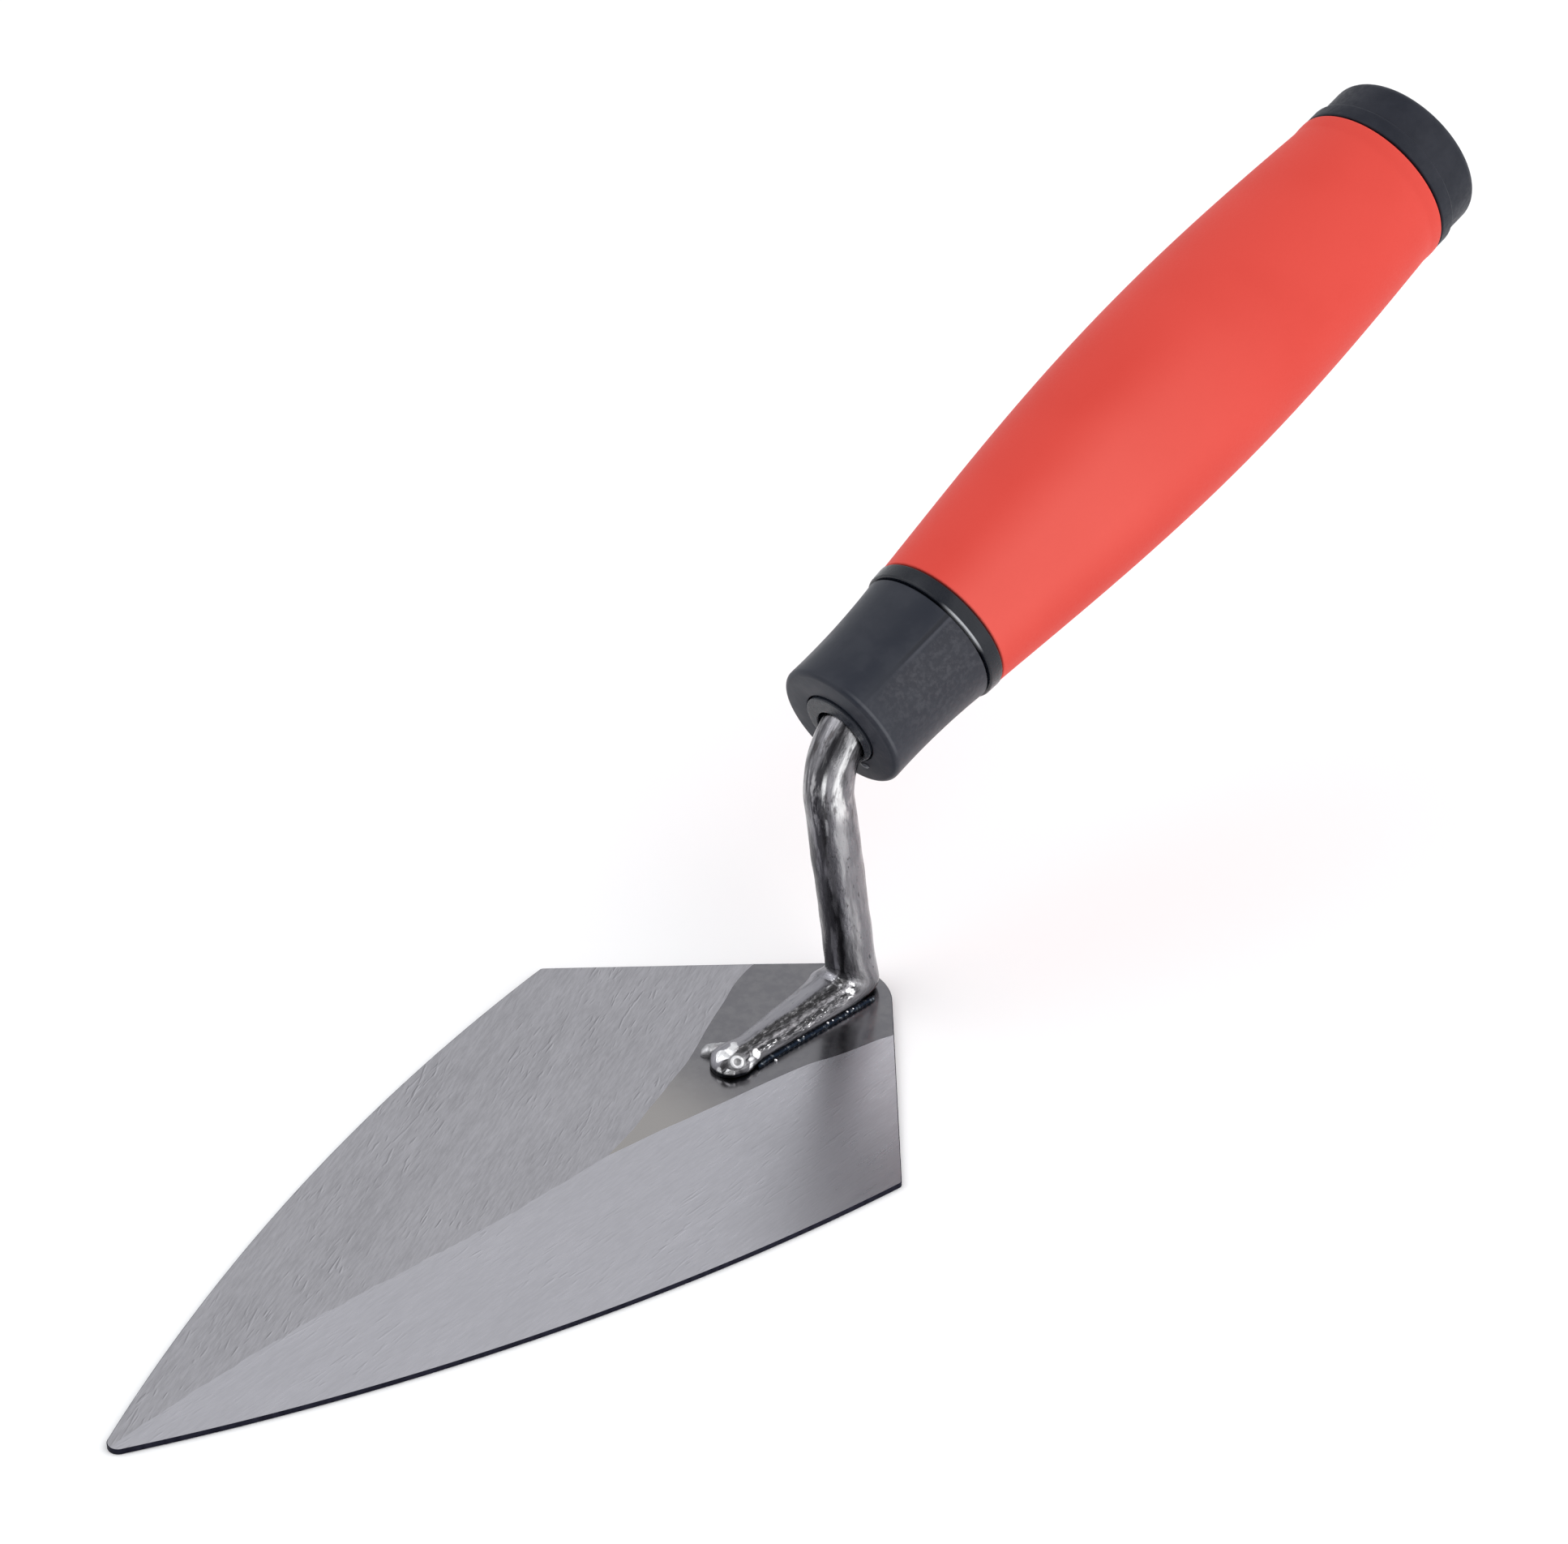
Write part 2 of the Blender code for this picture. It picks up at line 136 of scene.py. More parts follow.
def smooth_line(points, count):
    """A line through the points, eased so that it has no corners: a cubic Hermite curve whose slope at each
    point is the chord between its neighbours."""
    at = lengths(points)
    slope = np.gradient(points, at, axis=0)
    where = np.linspace(0, 1, count)
    k = np.clip(np.searchsorted(at, where, side="right") - 1, 0, len(at) - 2)
    step = (at[k + 1] - at[k])[:, None]
    t = (where - at[k])[:, None] / step
    return ((2 * t**3 - 3 * t**2 + 1) * points[k] + (t**3 - 2 * t**2 + t) * step * slope[k]
            + (3 * t**2 - 2 * t**3) * points[k + 1] + (t**3 - t**2) * step * slope[k + 1])


def inset(line, amount):
    """A flat line moved to its left by an amount, along its normals."""
    along = np.gradient(line, axis=0)
    along /= np.linalg.norm(along, axis=1)[:, None]
    return line + amount * np.stack([-along[:, 1], along[:, 0]], -1)


def with_height(line, height):
    return np.column_stack([line, np.broadcast_to(height, len(line))])


def ruled(first, second, steps, ease=1.0):
    """The grid of straight lines from each point of one line to its partner on the other."""
    share = (np.linspace(0, 1, steps) ** ease)[:, None, None]
    return first + (second - first) * share


def placed(name, data):
    """A new object in the scene."""
    made = bpy.data.objects.new(name, data)
    bpy.context.scene.collection.objects.link(made)
    return made


def piece(name, patches, finishes, stands_for=(), sharp_over=32.0, lie=None):
    """One closed mesh from grids of points.  Points at the same place become one, a face joins each four
    neighbours, and faces that shrink to a line are dropped.  patches are (grid, finish number); lie holds
    a vector for each point, which the finishes can use as their own coordinates."""
    points, faces, numbers, start = [], [], [], 0
    for grid, number in patches:
        rows, columns = grid.shape[:2]
        index = start + np.arange(rows * columns).reshape(rows, columns)
        quads = np.stack([index[:-1, :-1], index[:-1, 1:], index[1:, 1:], index[1:, :-1]], -1).reshape(-1, 4)
        faces.append(quads)
        numbers.append(np.full(len(quads), number))
        points.append(grid.reshape(-1, 3))
        start += rows * columns
    points, faces, numbers = np.concatenate(points), np.concatenate(faces), np.concatenate(numbers)
    _, first, same = np.unique(np.round(points / 2e-8).astype(np.int64), axis=0, return_index=True,
                               return_inverse=True)
    faces = same.reshape(-1)[faces]
    equal = faces == np.roll(faces, -1, axis=1)
    whole = faces[~equal.any(axis=1)]
    pinched = equal.sum(axis=1) == 1
    corner = np.argmax(equal[pinched], axis=1)[:, None]
    threes = np.take_along_axis(faces[pinched], (corner + np.array([[1, 2, 3]])) % 4, axis=1)
    mesh = bpy.data.meshes.new(name)
    mesh.from_pydata(points[first].tolist(), [], whole.tolist() + threes.tolist())
    for finish in finishes:
        mesh.materials.append(finish)
    order = np.concatenate([numbers[~equal.any(axis=1)], numbers[pinched]])
    mesh.polygons.foreach_set("material_index", order.astype(np.int32))
    shell = bmesh.new()
    shell.from_mesh(mesh)
    bmesh.ops.recalc_face_normals(shell, faces=shell.faces)
    shell.to_mesh(mesh)
    shell.free()
    mesh.shade_smooth()
    mesh.set_sharp_from_angle(angle=np.radians(sharp_over))
    if lie is not None:
        own = mesh.attributes.new("lie", "FLOAT_VECTOR", "POINT")
        own.data.foreach_set("vector", lie.reshape(-1, 3)[first].astype(np.float32).ravel())
    made = placed(name, mesh)
    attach(made, "root")
    if stands_for:
        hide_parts(*stands_for)
    return made


class Finish:
    """A procedural material on Object coordinates, built a node at a time."""

    def __init__(self, name, **sockets):
        self.material = bpy.data.materials.new(name)
        self.material.use_nodes = True
        self.tree = self.material.node_tree
        self.shader = self.tree.nodes["Principled BSDF"]
        self.place = self.node("ShaderNodeTexCoord").outputs["Object"]
        for socket, value in sockets.items():
            self.shader.inputs[socket.replace("_", " ")].default_value = value

    def node(self, kind, **inputs):
        made = self.tree.nodes.new(kind)
        for socket, value in inputs.items():
            self.feed(made.inputs[socket.replace("_", " ")], value)
        return made

    def feed(self, socket, value):
        if isinstance(value, bpy.types.NodeSocket):
            self.tree.links.new(value, socket)
        else:
            socket.default_value = value

    def mapped(self, place, **how):
        return self.node("ShaderNodeMapping", Vector=place, **how).outputs[0]

    def moved(self, scale, turn=0.0, shift=(0, 0, 0)):
        """The piece's own coordinates, turned to lie along a direction and then stretched."""
        turned = self.mapped(self.place, Rotation=(0.0, 0.0, -turn), Location=shift)
        return self.mapped(turned, Scale=np.broadcast_to(scale, 3).tolist())

    def noise(self, place, detail, roughness):
        return self.node("ShaderNodeTexNoise", Vector=place, Scale=1.0, Detail=detail,
                         Roughness=roughness).outputs[0]

    def between(self, value, low, high, to_low=0.0, to_high=1.0):
        """A value carried smoothly from one range to another."""
        made = self.node("ShaderNodeMapRange", Value=value)
        made.interpolation_type = "SMOOTHSTEP"
        for socket, number in zip(("From Min", "From Max", "To Min", "To Max"), (low, high, to_low, to_high)):
            self.feed(made.inputs[socket], number)
        return made.outputs[0]

    def maths(self, operation, first, second=0.0, third=0.0):
        made = self.node("ShaderNodeMath")
        made.operation = operation
        for socket, value in zip(made.inputs, (first, second, third)):
            self.feed(socket, value)
        return made.outputs[0]

    def times(self, first, *others):
        """All the values multiplied together."""
        for other in others:
            first = self.maths("MULTIPLY", first, other)
        return first

    def added(self, value, share, base):
        """A base with a share of a value added to it."""
        return self.maths("MULTIPLY_ADD", value, share, base)

    def band(self, value, start, full, past, end):
        """One between full and past, falling away to nothing at start and at end."""
        return self.times(self.between(value, start, full), self.between(value, past, end, 1.0, 0.0))

    def mixed(self, share, first, second, kind="MIX"):
        made = self.tree.nodes.new("ShaderNodeMix")
        made.data_type = "RGBA"
        made.blend_type = kind
        self.feed(made.inputs[0], share)
        for socket, value in ((made.inputs[6], first), (made.inputs[7], second)):
            self.feed(socket, (*value, 1.0) if isinstance(value, tuple) else value)
        return made.outputs[2]

    def coats(self, tone, *coats):
        """Colours laid over a tone one after another, each with its own share."""
        for share, colour in coats:
            tone = self.mixed(share, tone, colour)
        return tone

    def axis(self, number, place=None):
        return self.node("ShaderNodeSeparateXYZ", Vector=place or self.place).outputs[number]

    def away_from(self, point):
        """The distance of each place from one point of the piece."""
        made = self.node("ShaderNodeVectorMath", Vector=self.place)
        made.operation = "DISTANCE"
        made.inputs[1].default_value = point
        return made.outputs["Value"]

    def bump(self, height, depth, strength=1.0):
        return self.node("ShaderNodeBump", Height=height, Distance=depth, Strength=strength).outputs[0]

    def wear(self, **sockets):
        for socket, value in sockets.items():
            self.feed(self.shader.inputs[socket.replace("_", " ")], value)
        return self.material


def ground_face(name, colour, turn, depth, contrast, roughness, heel_lift=1.0):
    """Belt-ground steel: short strokes along one direction, longer soft streaks under them, and slow cloudy
    changes of tone, all in the colour, the roughness and the surface."""
    steel = Finish(name, Metallic=1.0)
    strokes = steel.noise(steel.moved((330, 2600, 800), turn), 4.0, 0.6)
    fine = steel.noise(steel.moved((900, 9000, 2000), turn), 2.0, 0.6)
    sweep = steel.noise(steel.moved((55, 420, 200), turn, (0.3, 0.1, 0.0)), 3.0, 0.5)
    cloud = steel.noise(steel.moved((45, 60, 60)), 2.0, 0.5)
    tone = steel.added(strokes, 0.5, steel.times(fine, 0.22))
    tone = steel.maths("ADD", tone, steel.added(sweep, 0.22, steel.times(cloud, 0.18)))
    scratches = steel.noise(steel.moved((120, 5200, 900), turn + 0.05, (0.05, 0.02, 0.0)), 1.0, 0.4)
    dark, light, scored, lit = (tuple(min(channel * share, 1.0) for channel in colour)
                                for share in (1 - contrast, 1 + contrast, 0.55, 1.5))
    shade = steel.coats(dark, (steel.between(tone, 0.33, 0.80), light),
                        (steel.between(scratches, 0.70, 0.80, 0.0, 0.35), light))
    busy = steel.noise(steel.moved(70, 0.0, (0.5, 0.2, 0.0)), 2.0, 0.5)
    for bend, shift, share in ((0.0, 0.0, 1.0), (0.14, 0.37, 0.8), (-0.12, 0.71, 0.6)):
        lay = steel.moved((230, 2100, 600), turn + bend, (shift, shift, 0.0))
        dash = steel.noise(lay, 1.0, 0.4)
        beside = steel.noise(steel.mapped(lay, Location=(0.0, 0.42, 0.0)), 1.0, 0.4)
        here = steel.between(busy, 0.42, 0.62, 0.15 * share, share)
        shade = steel.coats(
            shade, (steel.times(here, steel.between(dash, 0.665, 0.73, 0.0, 4.4 * contrast)), scored),
            (steel.times(here, steel.between(beside, 0.665, 0.73, 0.0, 2.8 * contrast)), lit))
    near_heel = steel.between(steel.axis(0), -8 * MM, 26 * MM)
    shade = steel.mixed(near_heel, shade, (heel_lift, heel_lift, heel_lift), "MULTIPLY")
    rough = steel.between(tone, 0.35, 0.75, roughness + 0.05, roughness - 0.04)
    return steel.wear(Base_Color=shade, Roughness=rough, Normal=steel.bump(tone, depth))


left_face = ground_face("ground_left_face", (0.395, 0.389, 0.412), np.radians(24), 0.026 * MM, 0.18, 0.35)
right_face = ground_face("ground_right_face", (0.478, 0.473, 0.505), np.radians(3), 0.012 * MM, 0.09, 0.30,
                         heel_lift=1.18)
underside = ground_face("ground_underside", (0.40, 0.40, 0.42), np.radians(12), 0.02 * MM, 0.12, 0.38)

land = Finish("bright_land", Metallic=1.0)
grain = land.noise(land.moved(500), 4.0, 0.6)
land_tone = land.coats((0.375, 0.358, 0.345),
                       (land.between(land.axis(0), -15 * MM, 3 * MM), (0.190, 0.187, 0.200)),
                       (land.between(grain, 0.35, 0.65, 0.0, 0.18), (0.36, 0.355, 0.35)))
bright_land = land.wear(Base_Color=land_tone, Roughness=land.between(grain, 0.3, 0.7, 0.15, 0.22),
                        Normal=land.bump(grain, 0.0015 * MM))

sheared = Finish("sheared_edge", Metallic=0.1, Specular_IOR_Level=0.08)
nicks = sheared.noise(sheared.moved((900, 900, 300)), 3.0, 0.6)
edge_tone = sheared.mixed(sheared.between(nicks, 0.3, 0.7), (0.004, 0.004, 0.012), (0.014, 0.014, 0.026))
blue_edge = sheared.wear(Base_Color=edge_tone, Roughness=sheared.between(nicks, 0.3, 0.7, 0.42, 0.6),
                         Normal=sheared.bump(nicks, 0.03 * MM))

outline = half_outline()
mirrored = np.array([1.0, -1.0])
whole_edge = np.concatenate([outline[:0:-1] * mirrored, outline])
rim_line = inset(whole_edge, EDGE_ROUND)[len(outline) - 1:]
rim_line[-1] = outline[-1] + np.array([EDGE_ROUND, 0.0])
split = int(np.argmax(outline[:, 0] < -32 * MM))
starts = [int(np.argmin(np.linalg.norm(outline - land[0] * (1, side), axis=1)))
          for land, side in ((LAND_LEFT, 1), (LAND_RIGHT, -1))]


def top_height(line):
    """Height of the blade's top: the full thickness on the land, falling evenly with distance from it."""
    start, end = np.array([[23.85, 14.4], [-25.5, 0.0]]) * MM
    along = (end - start) / np.linalg.norm(end - start)
    away = np.column_stack([line[:, 0], np.abs(line[:, 1])]) - start
    return BLADE_TOP - GRIND_FALL * np.clip(along[1] * away[:, 0] - along[0] * away[:, 1], 0.0, None)


def edge_band(start, side):
    """The blade's edge all along one half: a rounded top corner, a plain wall and a rounded bottom corner."""
    top = top_height(outline)
    top[:start + 1] = BLADE_TOP
    corner = EDGE_ROUND * (1 - np.sqrt(0.5))
    inward = [EDGE_ROUND, corner, 0.0, 0.0, 0.0, corner, EDGE_ROUND]
    columns = []
    for number, amount in enumerate(inward):
        flat = outline + (rim_line - outline) * amount / EDGE_ROUND
        rise = [top, top - corner, top - EDGE_ROUND, 0.5 * top, EDGE_ROUND, corner, 0.0][number]
        columns.append(with_height(flat * (1, side), rise))
    return np.stack(columns, axis=1)


def with_repeats(line, count):
    """The line with its first point repeated until it has that many points."""
    return np.concatenate([np.repeat(line[:1], count - len(line), axis=0), line])


patches = []
land_edges = []
longest = split + 1 - min(starts)
ridge = smooth_line(np.concatenate([RIDGE, rim_line[-1:]]), 500)
ridge_points = sample(ridge, lengths(outline[split:]))
wander = sum(tall * np.sin(ridge_points[:, 0] * beat + start)
             for tall, beat, start in ((1.0, 610, 0.0), (0.7, 1370, 1.0), (0.5, 2900, 0.0)))
ridge_points[1:-1, 1] += (0.10 * MM * wander * np.sin(np.linspace(0, np.pi, len(wander)))**0.5)[1:-1]
ridge_points = with_height(ridge_points, top_height(ridge_points * (1, 0)))
for number, (land, start, side) in enumerate(zip((LAND_LEFT, LAND_RIGHT), starts, (1, -1))):
    band = edge_band(start, side)
    patches.append((band, 3))
    land_edge = smooth_line(land, 400)
    land_edge[0] = rim_line[start] * (1, side)
    land_edge = with_height(sample(land_edge, lengths(outline[start:split + 1])), BLADE_TOP)
    land_edge[0] = band[start, 0]
    land_edge[-1] = ridge_points[0]
    ridge_points[-1] = band[-1, 0]
    inner = np.concatenate([land_edge, ridge_points[1:]])
    patches.append((ruled(inner, band[start:, 0], 26, 1.2), number))
    land_edges.append(with_repeats(land_edge, longest))
heel_line = np.concatenate([patches[2][0][starts[1]:0:-1, 0], patches[0][0][:starts[0] + 1, 0]])
chord = ruled(land_edges[1][0], land_edges[0][0], len(heel_line)).reshape(-1, 3)
patches.append((ruled(heel_line, chord, 12), 2))
patches.append((ruled(land_edges[1], land_edges[0], len(heel_line)), 2))
patches.append((ruled(patches[0][0][:, -1], patches[2][0][:, -1], 15), 4))
piece("blade_leaf", patches, (left_face, right_face, bright_land, blue_edge, underside),
      ("blade",), sharp_over=14.0)


# ----------------------------------------------------------------------------
# Shank.  One round steel bar, hot forged: the front is hammered out to a tapered half-round foot,
# the bar turns up at the heel into the neck and bends again into the tang inside the handle.
# ----------------------------------------------------------------------------
butt = {mount["name"]: mount for mount in frame["record"]["mounts"]}["butt_face"]
HANDLE_LENGTH = 138.9 * MM
AXIS = np.array(butt["axis"]) / np.linalg.norm(butt["axis"])
SIDE = np.array([0.0, 1.0, 0.0])
OVER = np.cross(AXIS, SIDE)
HANDLE_START = np.array(butt["pos_m"]) - AXIS * HANDLE_LENGTH
BAR = 3.85 * MM
NECK_BASE = np.array([30.0 * MM, BLADE_TOP])
NECK_ANGLE = np.radians(98.25)
HANDLE_ANGLE = np.arctan2(AXIS[2], AXIS[0])
BEND = 12.2 * MM
NOSE, NOSE_BALL, WAIST, WAIST_AT = -0.9 * MM, 3.3 * MM, 2.95 * MM, 6.8 * MM
FOOT_WIDE, FOOT_WIDE_AT = 4.4 * MM, 28.0 * MM
INNER_ROUND = 1.3 * MM          # where the neck meets the top of the foot
FOOT_END, FOOT_BED, UNDER = 24.0 * MM, 0.02 * MM, 0.7 * MM
FOOT_TURN = np.radians(2.0)
TANG_TIP, BARBS = 84.4 * MM, np.array([52.0, 62.0, 72.0]) * MM


def heading(angle):
    """The direction of travel at an angle over +X, and the direction square to it on its left."""
    return np.stack([np.cos(angle), np.sin(angle)], -1), np.stack([-np.sin(angle), np.cos(angle)], -1)


def foot_half_width(x):
    """A ball at the nose, an eased waist behind it, then an even swell towards the heel."""
    ball = NOSE + NOSE_BALL
    round_end = np.sqrt(np.clip(NOSE_BALL**2 - np.clip(ball - x, 0, None)**2, 0, None))
    ease = np.clip((x - ball) / (WAIST_AT - ball), 0, 1)
    waist = (WAIST - NOSE_BALL) * np.sin(ease * np.pi / 2)**2
    swell = (FOOT_WIDE - WAIST) * np.clip((x - WAIST_AT) / (FOOT_WIDE_AT - WAIST_AT), 0, None)
    return round_end + waist + swell


def neck_line(height):
    """A point of the neck's centreline, at a distance up it."""
    return NECK_BASE + np.multiply.outer(height, heading(NECK_ANGLE)[0])


front = HANDLE_START[[0, 2]]
crossing = np.linalg.solve(np.column_stack([heading(NECK_ANGLE)[0], -AXIS[[0, 2]]]), front - NECK_BASE)
tangent = BEND * np.tan((NECK_ANGLE - HANDLE_ANGLE) / 2)
BEND_LOW, BEND_IN = crossing[0] - tangent, crossing[1] + tangent

# Stations: centre, heading, half width, rise over the centre, drop under it and squareness of the underside
flat = NOSE + (FOOT_END - NOSE) * (1 - np.cos(np.linspace(0, 1, 120) * np.pi / 2)**0.9)
half_width = foot_half_width(flat)
under = np.minimum(UNDER, 0.35 * half_width)
foot = [np.stack([flat, BLADE_TOP + FOOT_BED + under], -1), np.zeros_like(flat), half_width,
        np.maximum(half_width - under, 0.0), under, np.full_like(flat, 0.35)]

pivot_height = BLADE_TOP + foot_half_width(FOOT_END) + INNER_ROUND
reach = (pivot_height - NECK_BASE[1]) / np.sin(NECK_ANGLE)
pivot = neck_line(reach)[0] - (BAR + INNER_ROUND) / np.sin(NECK_ANGLE), pivot_height
turning = np.linspace(0, 1, 60)[1:]
angle = turning * NECK_ANGLE
down = -heading(angle)[1]
floor_reach = (pivot_height - BLADE_TOP - FOOT_BED) / np.maximum(-down[:, 1], 1e-3)
back = -heading(NECK_ANGLE)[1]
back_reach = (BAR - (np.array(pivot) - NECK_BASE) @ back) / np.maximum(down @ back, 1e-3)
outer = (floor_reach**-7.0 + back_reach**-7.0)**(-1 / 7.0)
depth = outer - INNER_ROUND
ease = turning * turning * (3 - 2 * turning)
under = UNDER + (depth / 2 - UNDER) * ease
corner_width = (foot_half_width(FOOT_END) * (1 - ease) + BAR * ease
                + 0.25 * MM * np.sin(np.pi * turning))
corner = [pivot + down * (outer - under)[:, None], angle, corner_width, depth - under, under,
          0.35 + 0.65 * np.minimum(1.4 * ease, 1.0)]

up_neck = np.linspace(reach + 1.5 * MM, BEND_LOW, 110)
round_bend = np.linspace(NECK_ANGLE, HANDLE_ANGLE, 90)[1:]
bend_centre = neck_line(BEND_LOW) - heading(NECK_ANGLE)[1] * BEND
along_tang = np.concatenate([np.linspace(BEND_IN, BARBS[0] - 1 * MM, 30)[1:],
                             np.linspace(BARBS[0], TANG_TIP, 120)])
bar_centres = np.concatenate([neck_line(up_neck), bend_centre + BEND * heading(round_bend)[1],
                              front + np.multiply.outer(along_tang, AXIS[[0, 2]])])
bar_angles = np.concatenate([np.full(len(up_neck), NECK_ANGLE), round_bend,
                             np.full(len(along_tang), HANDLE_ANGLE)])
nearest = along_tang[:, None] - BARBS
notch = np.where((nearest > -0.4 * MM) & (nearest < 6 * MM), 1 - np.abs(nearest) / (6 * MM), 0).max(axis=1)
bar_radius = np.full(len(bar_centres), BAR)
point = np.clip((along_tang - TANG_TIP) / (4 * MM) + 1, 0, 1)
bar_radius[-len(along_tang):] -= 0.7 * MM * notch + 1.7 * MM * point
bar = [bar_centres, bar_angles, bar_radius, bar_radius, bar_radius, np.ones(len(bar_radius))]

centres, angles, widths, rises, drops, squares = (np.concatenate(parts) for parts in zip(foot, corner, bar))
travel = np.concatenate([[0.0], np.cumsum(np.linalg.norm(np.diff(centres, axis=0), axis=1))])
around = np.linspace(0, 2 * np.pi, 97)


def sweep_rings(centres, angles, widths, rises, drops, squares, around):
    """One ring at each station: an ellipse above the centre and, below it, an ellipse drawn towards a box by
    taking a power of the sine and cosine."""
    cosine, sine = np.cos(around), np.sin(around)
    below = (sine < 0)[None, :]
    power = np.where(below, squares[:, None], 1.0)
    across = widths[:, None] * np.sign(cosine) * np.abs(cosine)**power
    tall = np.where(below, drops[:, None], rises[:, None]) * np.sign(sine) * np.abs(sine)**power
    up = heading(angles)[1]
    flat_place = centres[:, None, :] + up[:, None, :] * tall[..., None]
    return np.stack([flat_place[..., 0], across, flat_place[..., 1]], -1)


def hammer_marks(rings, travel, around):
    """What forging leaves on the bar.  Each point moves towards or away from the middle of its ring by a sum
    of slow waves along the bar and round it; on the foot a ridge, a crease and a flat also run along the
    bar, each a bell curve round the ring.  The waves fade out on the flat underside."""
    along, turn = travel[:, None] / MM, around[None, :]
    waves = 0.75 * (0.050 * np.sin(0.33 * along + 2 * turn) + 0.045 * np.sin(0.61 * along - 3 * turn + 1.0)
             + 0.025 * np.sin(1.1 * along + turn + 2.3) + 0.030 * np.sin(0.27 * along + 5 * turn))
    on_foot = np.clip((along - 3.0) / 2.0, 0, 1) * np.clip((29.0 - along) / 5.0, 0, 1)
    degrees = np.degrees(turn)
    drift = 3.0 * np.sin(0.5 * along) + 1.5 * np.sin(1.3 * along + 1.0)
    ridge = 0.11 * np.exp(-((degrees - 131 - drift) / 6.5)**2)
    crease = 0.20 * np.exp(-((degrees - 143 - drift) / 4.0)**2) * (0.75 + 0.25 * np.sin(1.9 * along))
    flat = 0.16 * np.exp(-((degrees - 112) / 9)**2)
    fade = np.clip((rings[..., 2] - BLADE_TOP - 0.3 * MM) / (1.5 * MM), 0, 1)
    outward = rings - rings.mean(axis=1, keepdims=True)
    size = np.maximum(np.linalg.norm(outward, axis=-1, keepdims=True), 0.4 * MM)
    lift = waves * fade + (ridge - crease - flat) * on_foot
    return rings + outward / size * lift[..., None] * MM


def swung(x, y, angle):
    """Places turned by an angle, as seen from above, about the bottom of the neck."""
    away = x - NECK_BASE[0]
    return (NECK_BASE[0] + away * np.cos(angle) - y * np.sin(angle),
            away * np.sin(angle) + y * np.cos(angle))


def closed(rings):
    """Rings of points, each ended where it began, the first one drawn to its own middle."""
    rings[0] = rings[0].mean(axis=0)
    rings[:, -1] = rings[:, 0]
    return rings


rings = sweep_rings(centres, angles, widths, rises, drops, squares, around)
rings[:, -1] = rings[:, 0]
rings = closed(hammer_marks(rings, travel, around))

# The tip of the nose: a small ring pressed by the die, with struck flats round it
NOSE_CENTRE = np.array([NOSE + NOSE_BALL, 0.0, BLADE_TOP + 0.72 * MM])
NOSE_MARK = NOSE_CENTRE + np.array([-1.10, -2.20, 1.72]) * MM
# Where a facet of the nose is painted bright as a highlight
NOSE_FACET_HIGHLIGHT = (5.35 * MM, -3.35 * MM, BLADE_TOP + 2.05 * MM)
outward = rings - NOSE_CENTRE
outward /= np.maximum(np.linalg.norm(outward, axis=-1, keepdims=True), 0.3 * MM)
spread = rings - NOSE_MARK
from_mark = np.linalg.norm(spread, axis=-1)
spin = np.arctan2(spread @ np.array([0.698, -0.716, 0.0]), spread @ np.array([0.399, 0.382, 0.834]))
height = (0.14 * np.exp(-((from_mark - 0.80 * MM) / (0.24 * MM))**2)
          - 0.16 * np.exp(-(from_mark / (0.45 * MM))**2)
          + 0.34 * (np.abs(np.cos(2.5 * spin + 0.5)) - 0.6)
          * np.exp(-((from_mark - 2.2 * MM) / (0.8 * MM))**2)) * MM
on_nose = (np.clip((7 * MM - rings[..., 0]) / (2 * MM), 0, 1)
           * np.clip((rings[..., 2] - BLADE_TOP) / (1.0 * MM), 0, 1))
rings = closed(rings + outward * (height * on_nose)[..., None])

# The fillet on the left, where the foot runs up into the neck
along = travel[:, None] / MM
skirt = 0.75 * np.exp(-((along - 27.5) / 3.0)**2) * np.exp(-((around - np.radians(30)) / np.radians(28))**2)
rings[..., 1] += skirt * MM * np.clip((rings[..., 2] - BLADE_TOP) / (0.6 * MM), 0, 1)
rings[:, -1] = rings[:, 0]

swing = np.where(rings[..., 0] > 40 * MM, 0.0, FOOT_TURN * np.clip((9 * MM - rings[..., 2]) / (4 * MM), 0, 1))
rings[..., 0], rings[..., 1] = swung(rings[..., 0], rings[..., 1], swing)
tang_end = np.repeat(rings[-1:].mean(axis=1, keepdims=True), len(around), axis=1)
rings = np.concatenate([rings, tang_end])
travel = np.append(travel, travel[-1] + BAR)
bar_lie = np.stack(np.broadcast_arrays(BAR * np.cos(around)[None], BAR * np.sin(around)[None],
                                       travel[:, None]), -1)

forged = Finish("forged_bar", Metallic=1.0)
own = forged.tree.nodes.new("ShaderNodeAttribute")
own.attribute_name = "lie"
own = own.outputs["Vector"]


def bar_noise(round_scale, long_scale, shift, detail, roughness):
    """Noise on the bar's own coordinates, stretched so that marks run along it, bends and all."""
    place = forged.mapped(own, Scale=(round_scale, round_scale, long_scale), Location=shift)
    return forged.noise(place, detail, roughness)


streaks = bar_noise(700, 110, (0.1, 0.2, 0.3), 4.0, 0.6)
smears = bar_noise(330, 60, (0.4, 0.1, 0.0), 3.0, 0.55)
pits = bar_noise(1500, 520, (0.0, 0.3, 0.1), 4.0, 0.65)
speckle = bar_noise(2600, 1300, (0.0, 0.0, 0.7), 3.0, 0.6)
shell_marks = bar_noise(560, 210, (0.9, 0.0, 0.5), 4.0, 0.65)
grit = bar_noise(1900, 800, (0.6, 0.2, 0.4), 4.0, 0.7)
blotches = forged.noise(forged.moved(430, 0.0, (0.3, 0.0, 0.2)), 1.0, 0.5)
turn = forged.maths("ARCTAN2", forged.axis(1, own), forged.axis(0, own))
turn = forged.added(forged.maths("SUBTRACT", smears, 0.5), 0.75, turn)
turn = forged.added(forged.maths("SUBTRACT", streaks, 0.5), 0.40, turn)
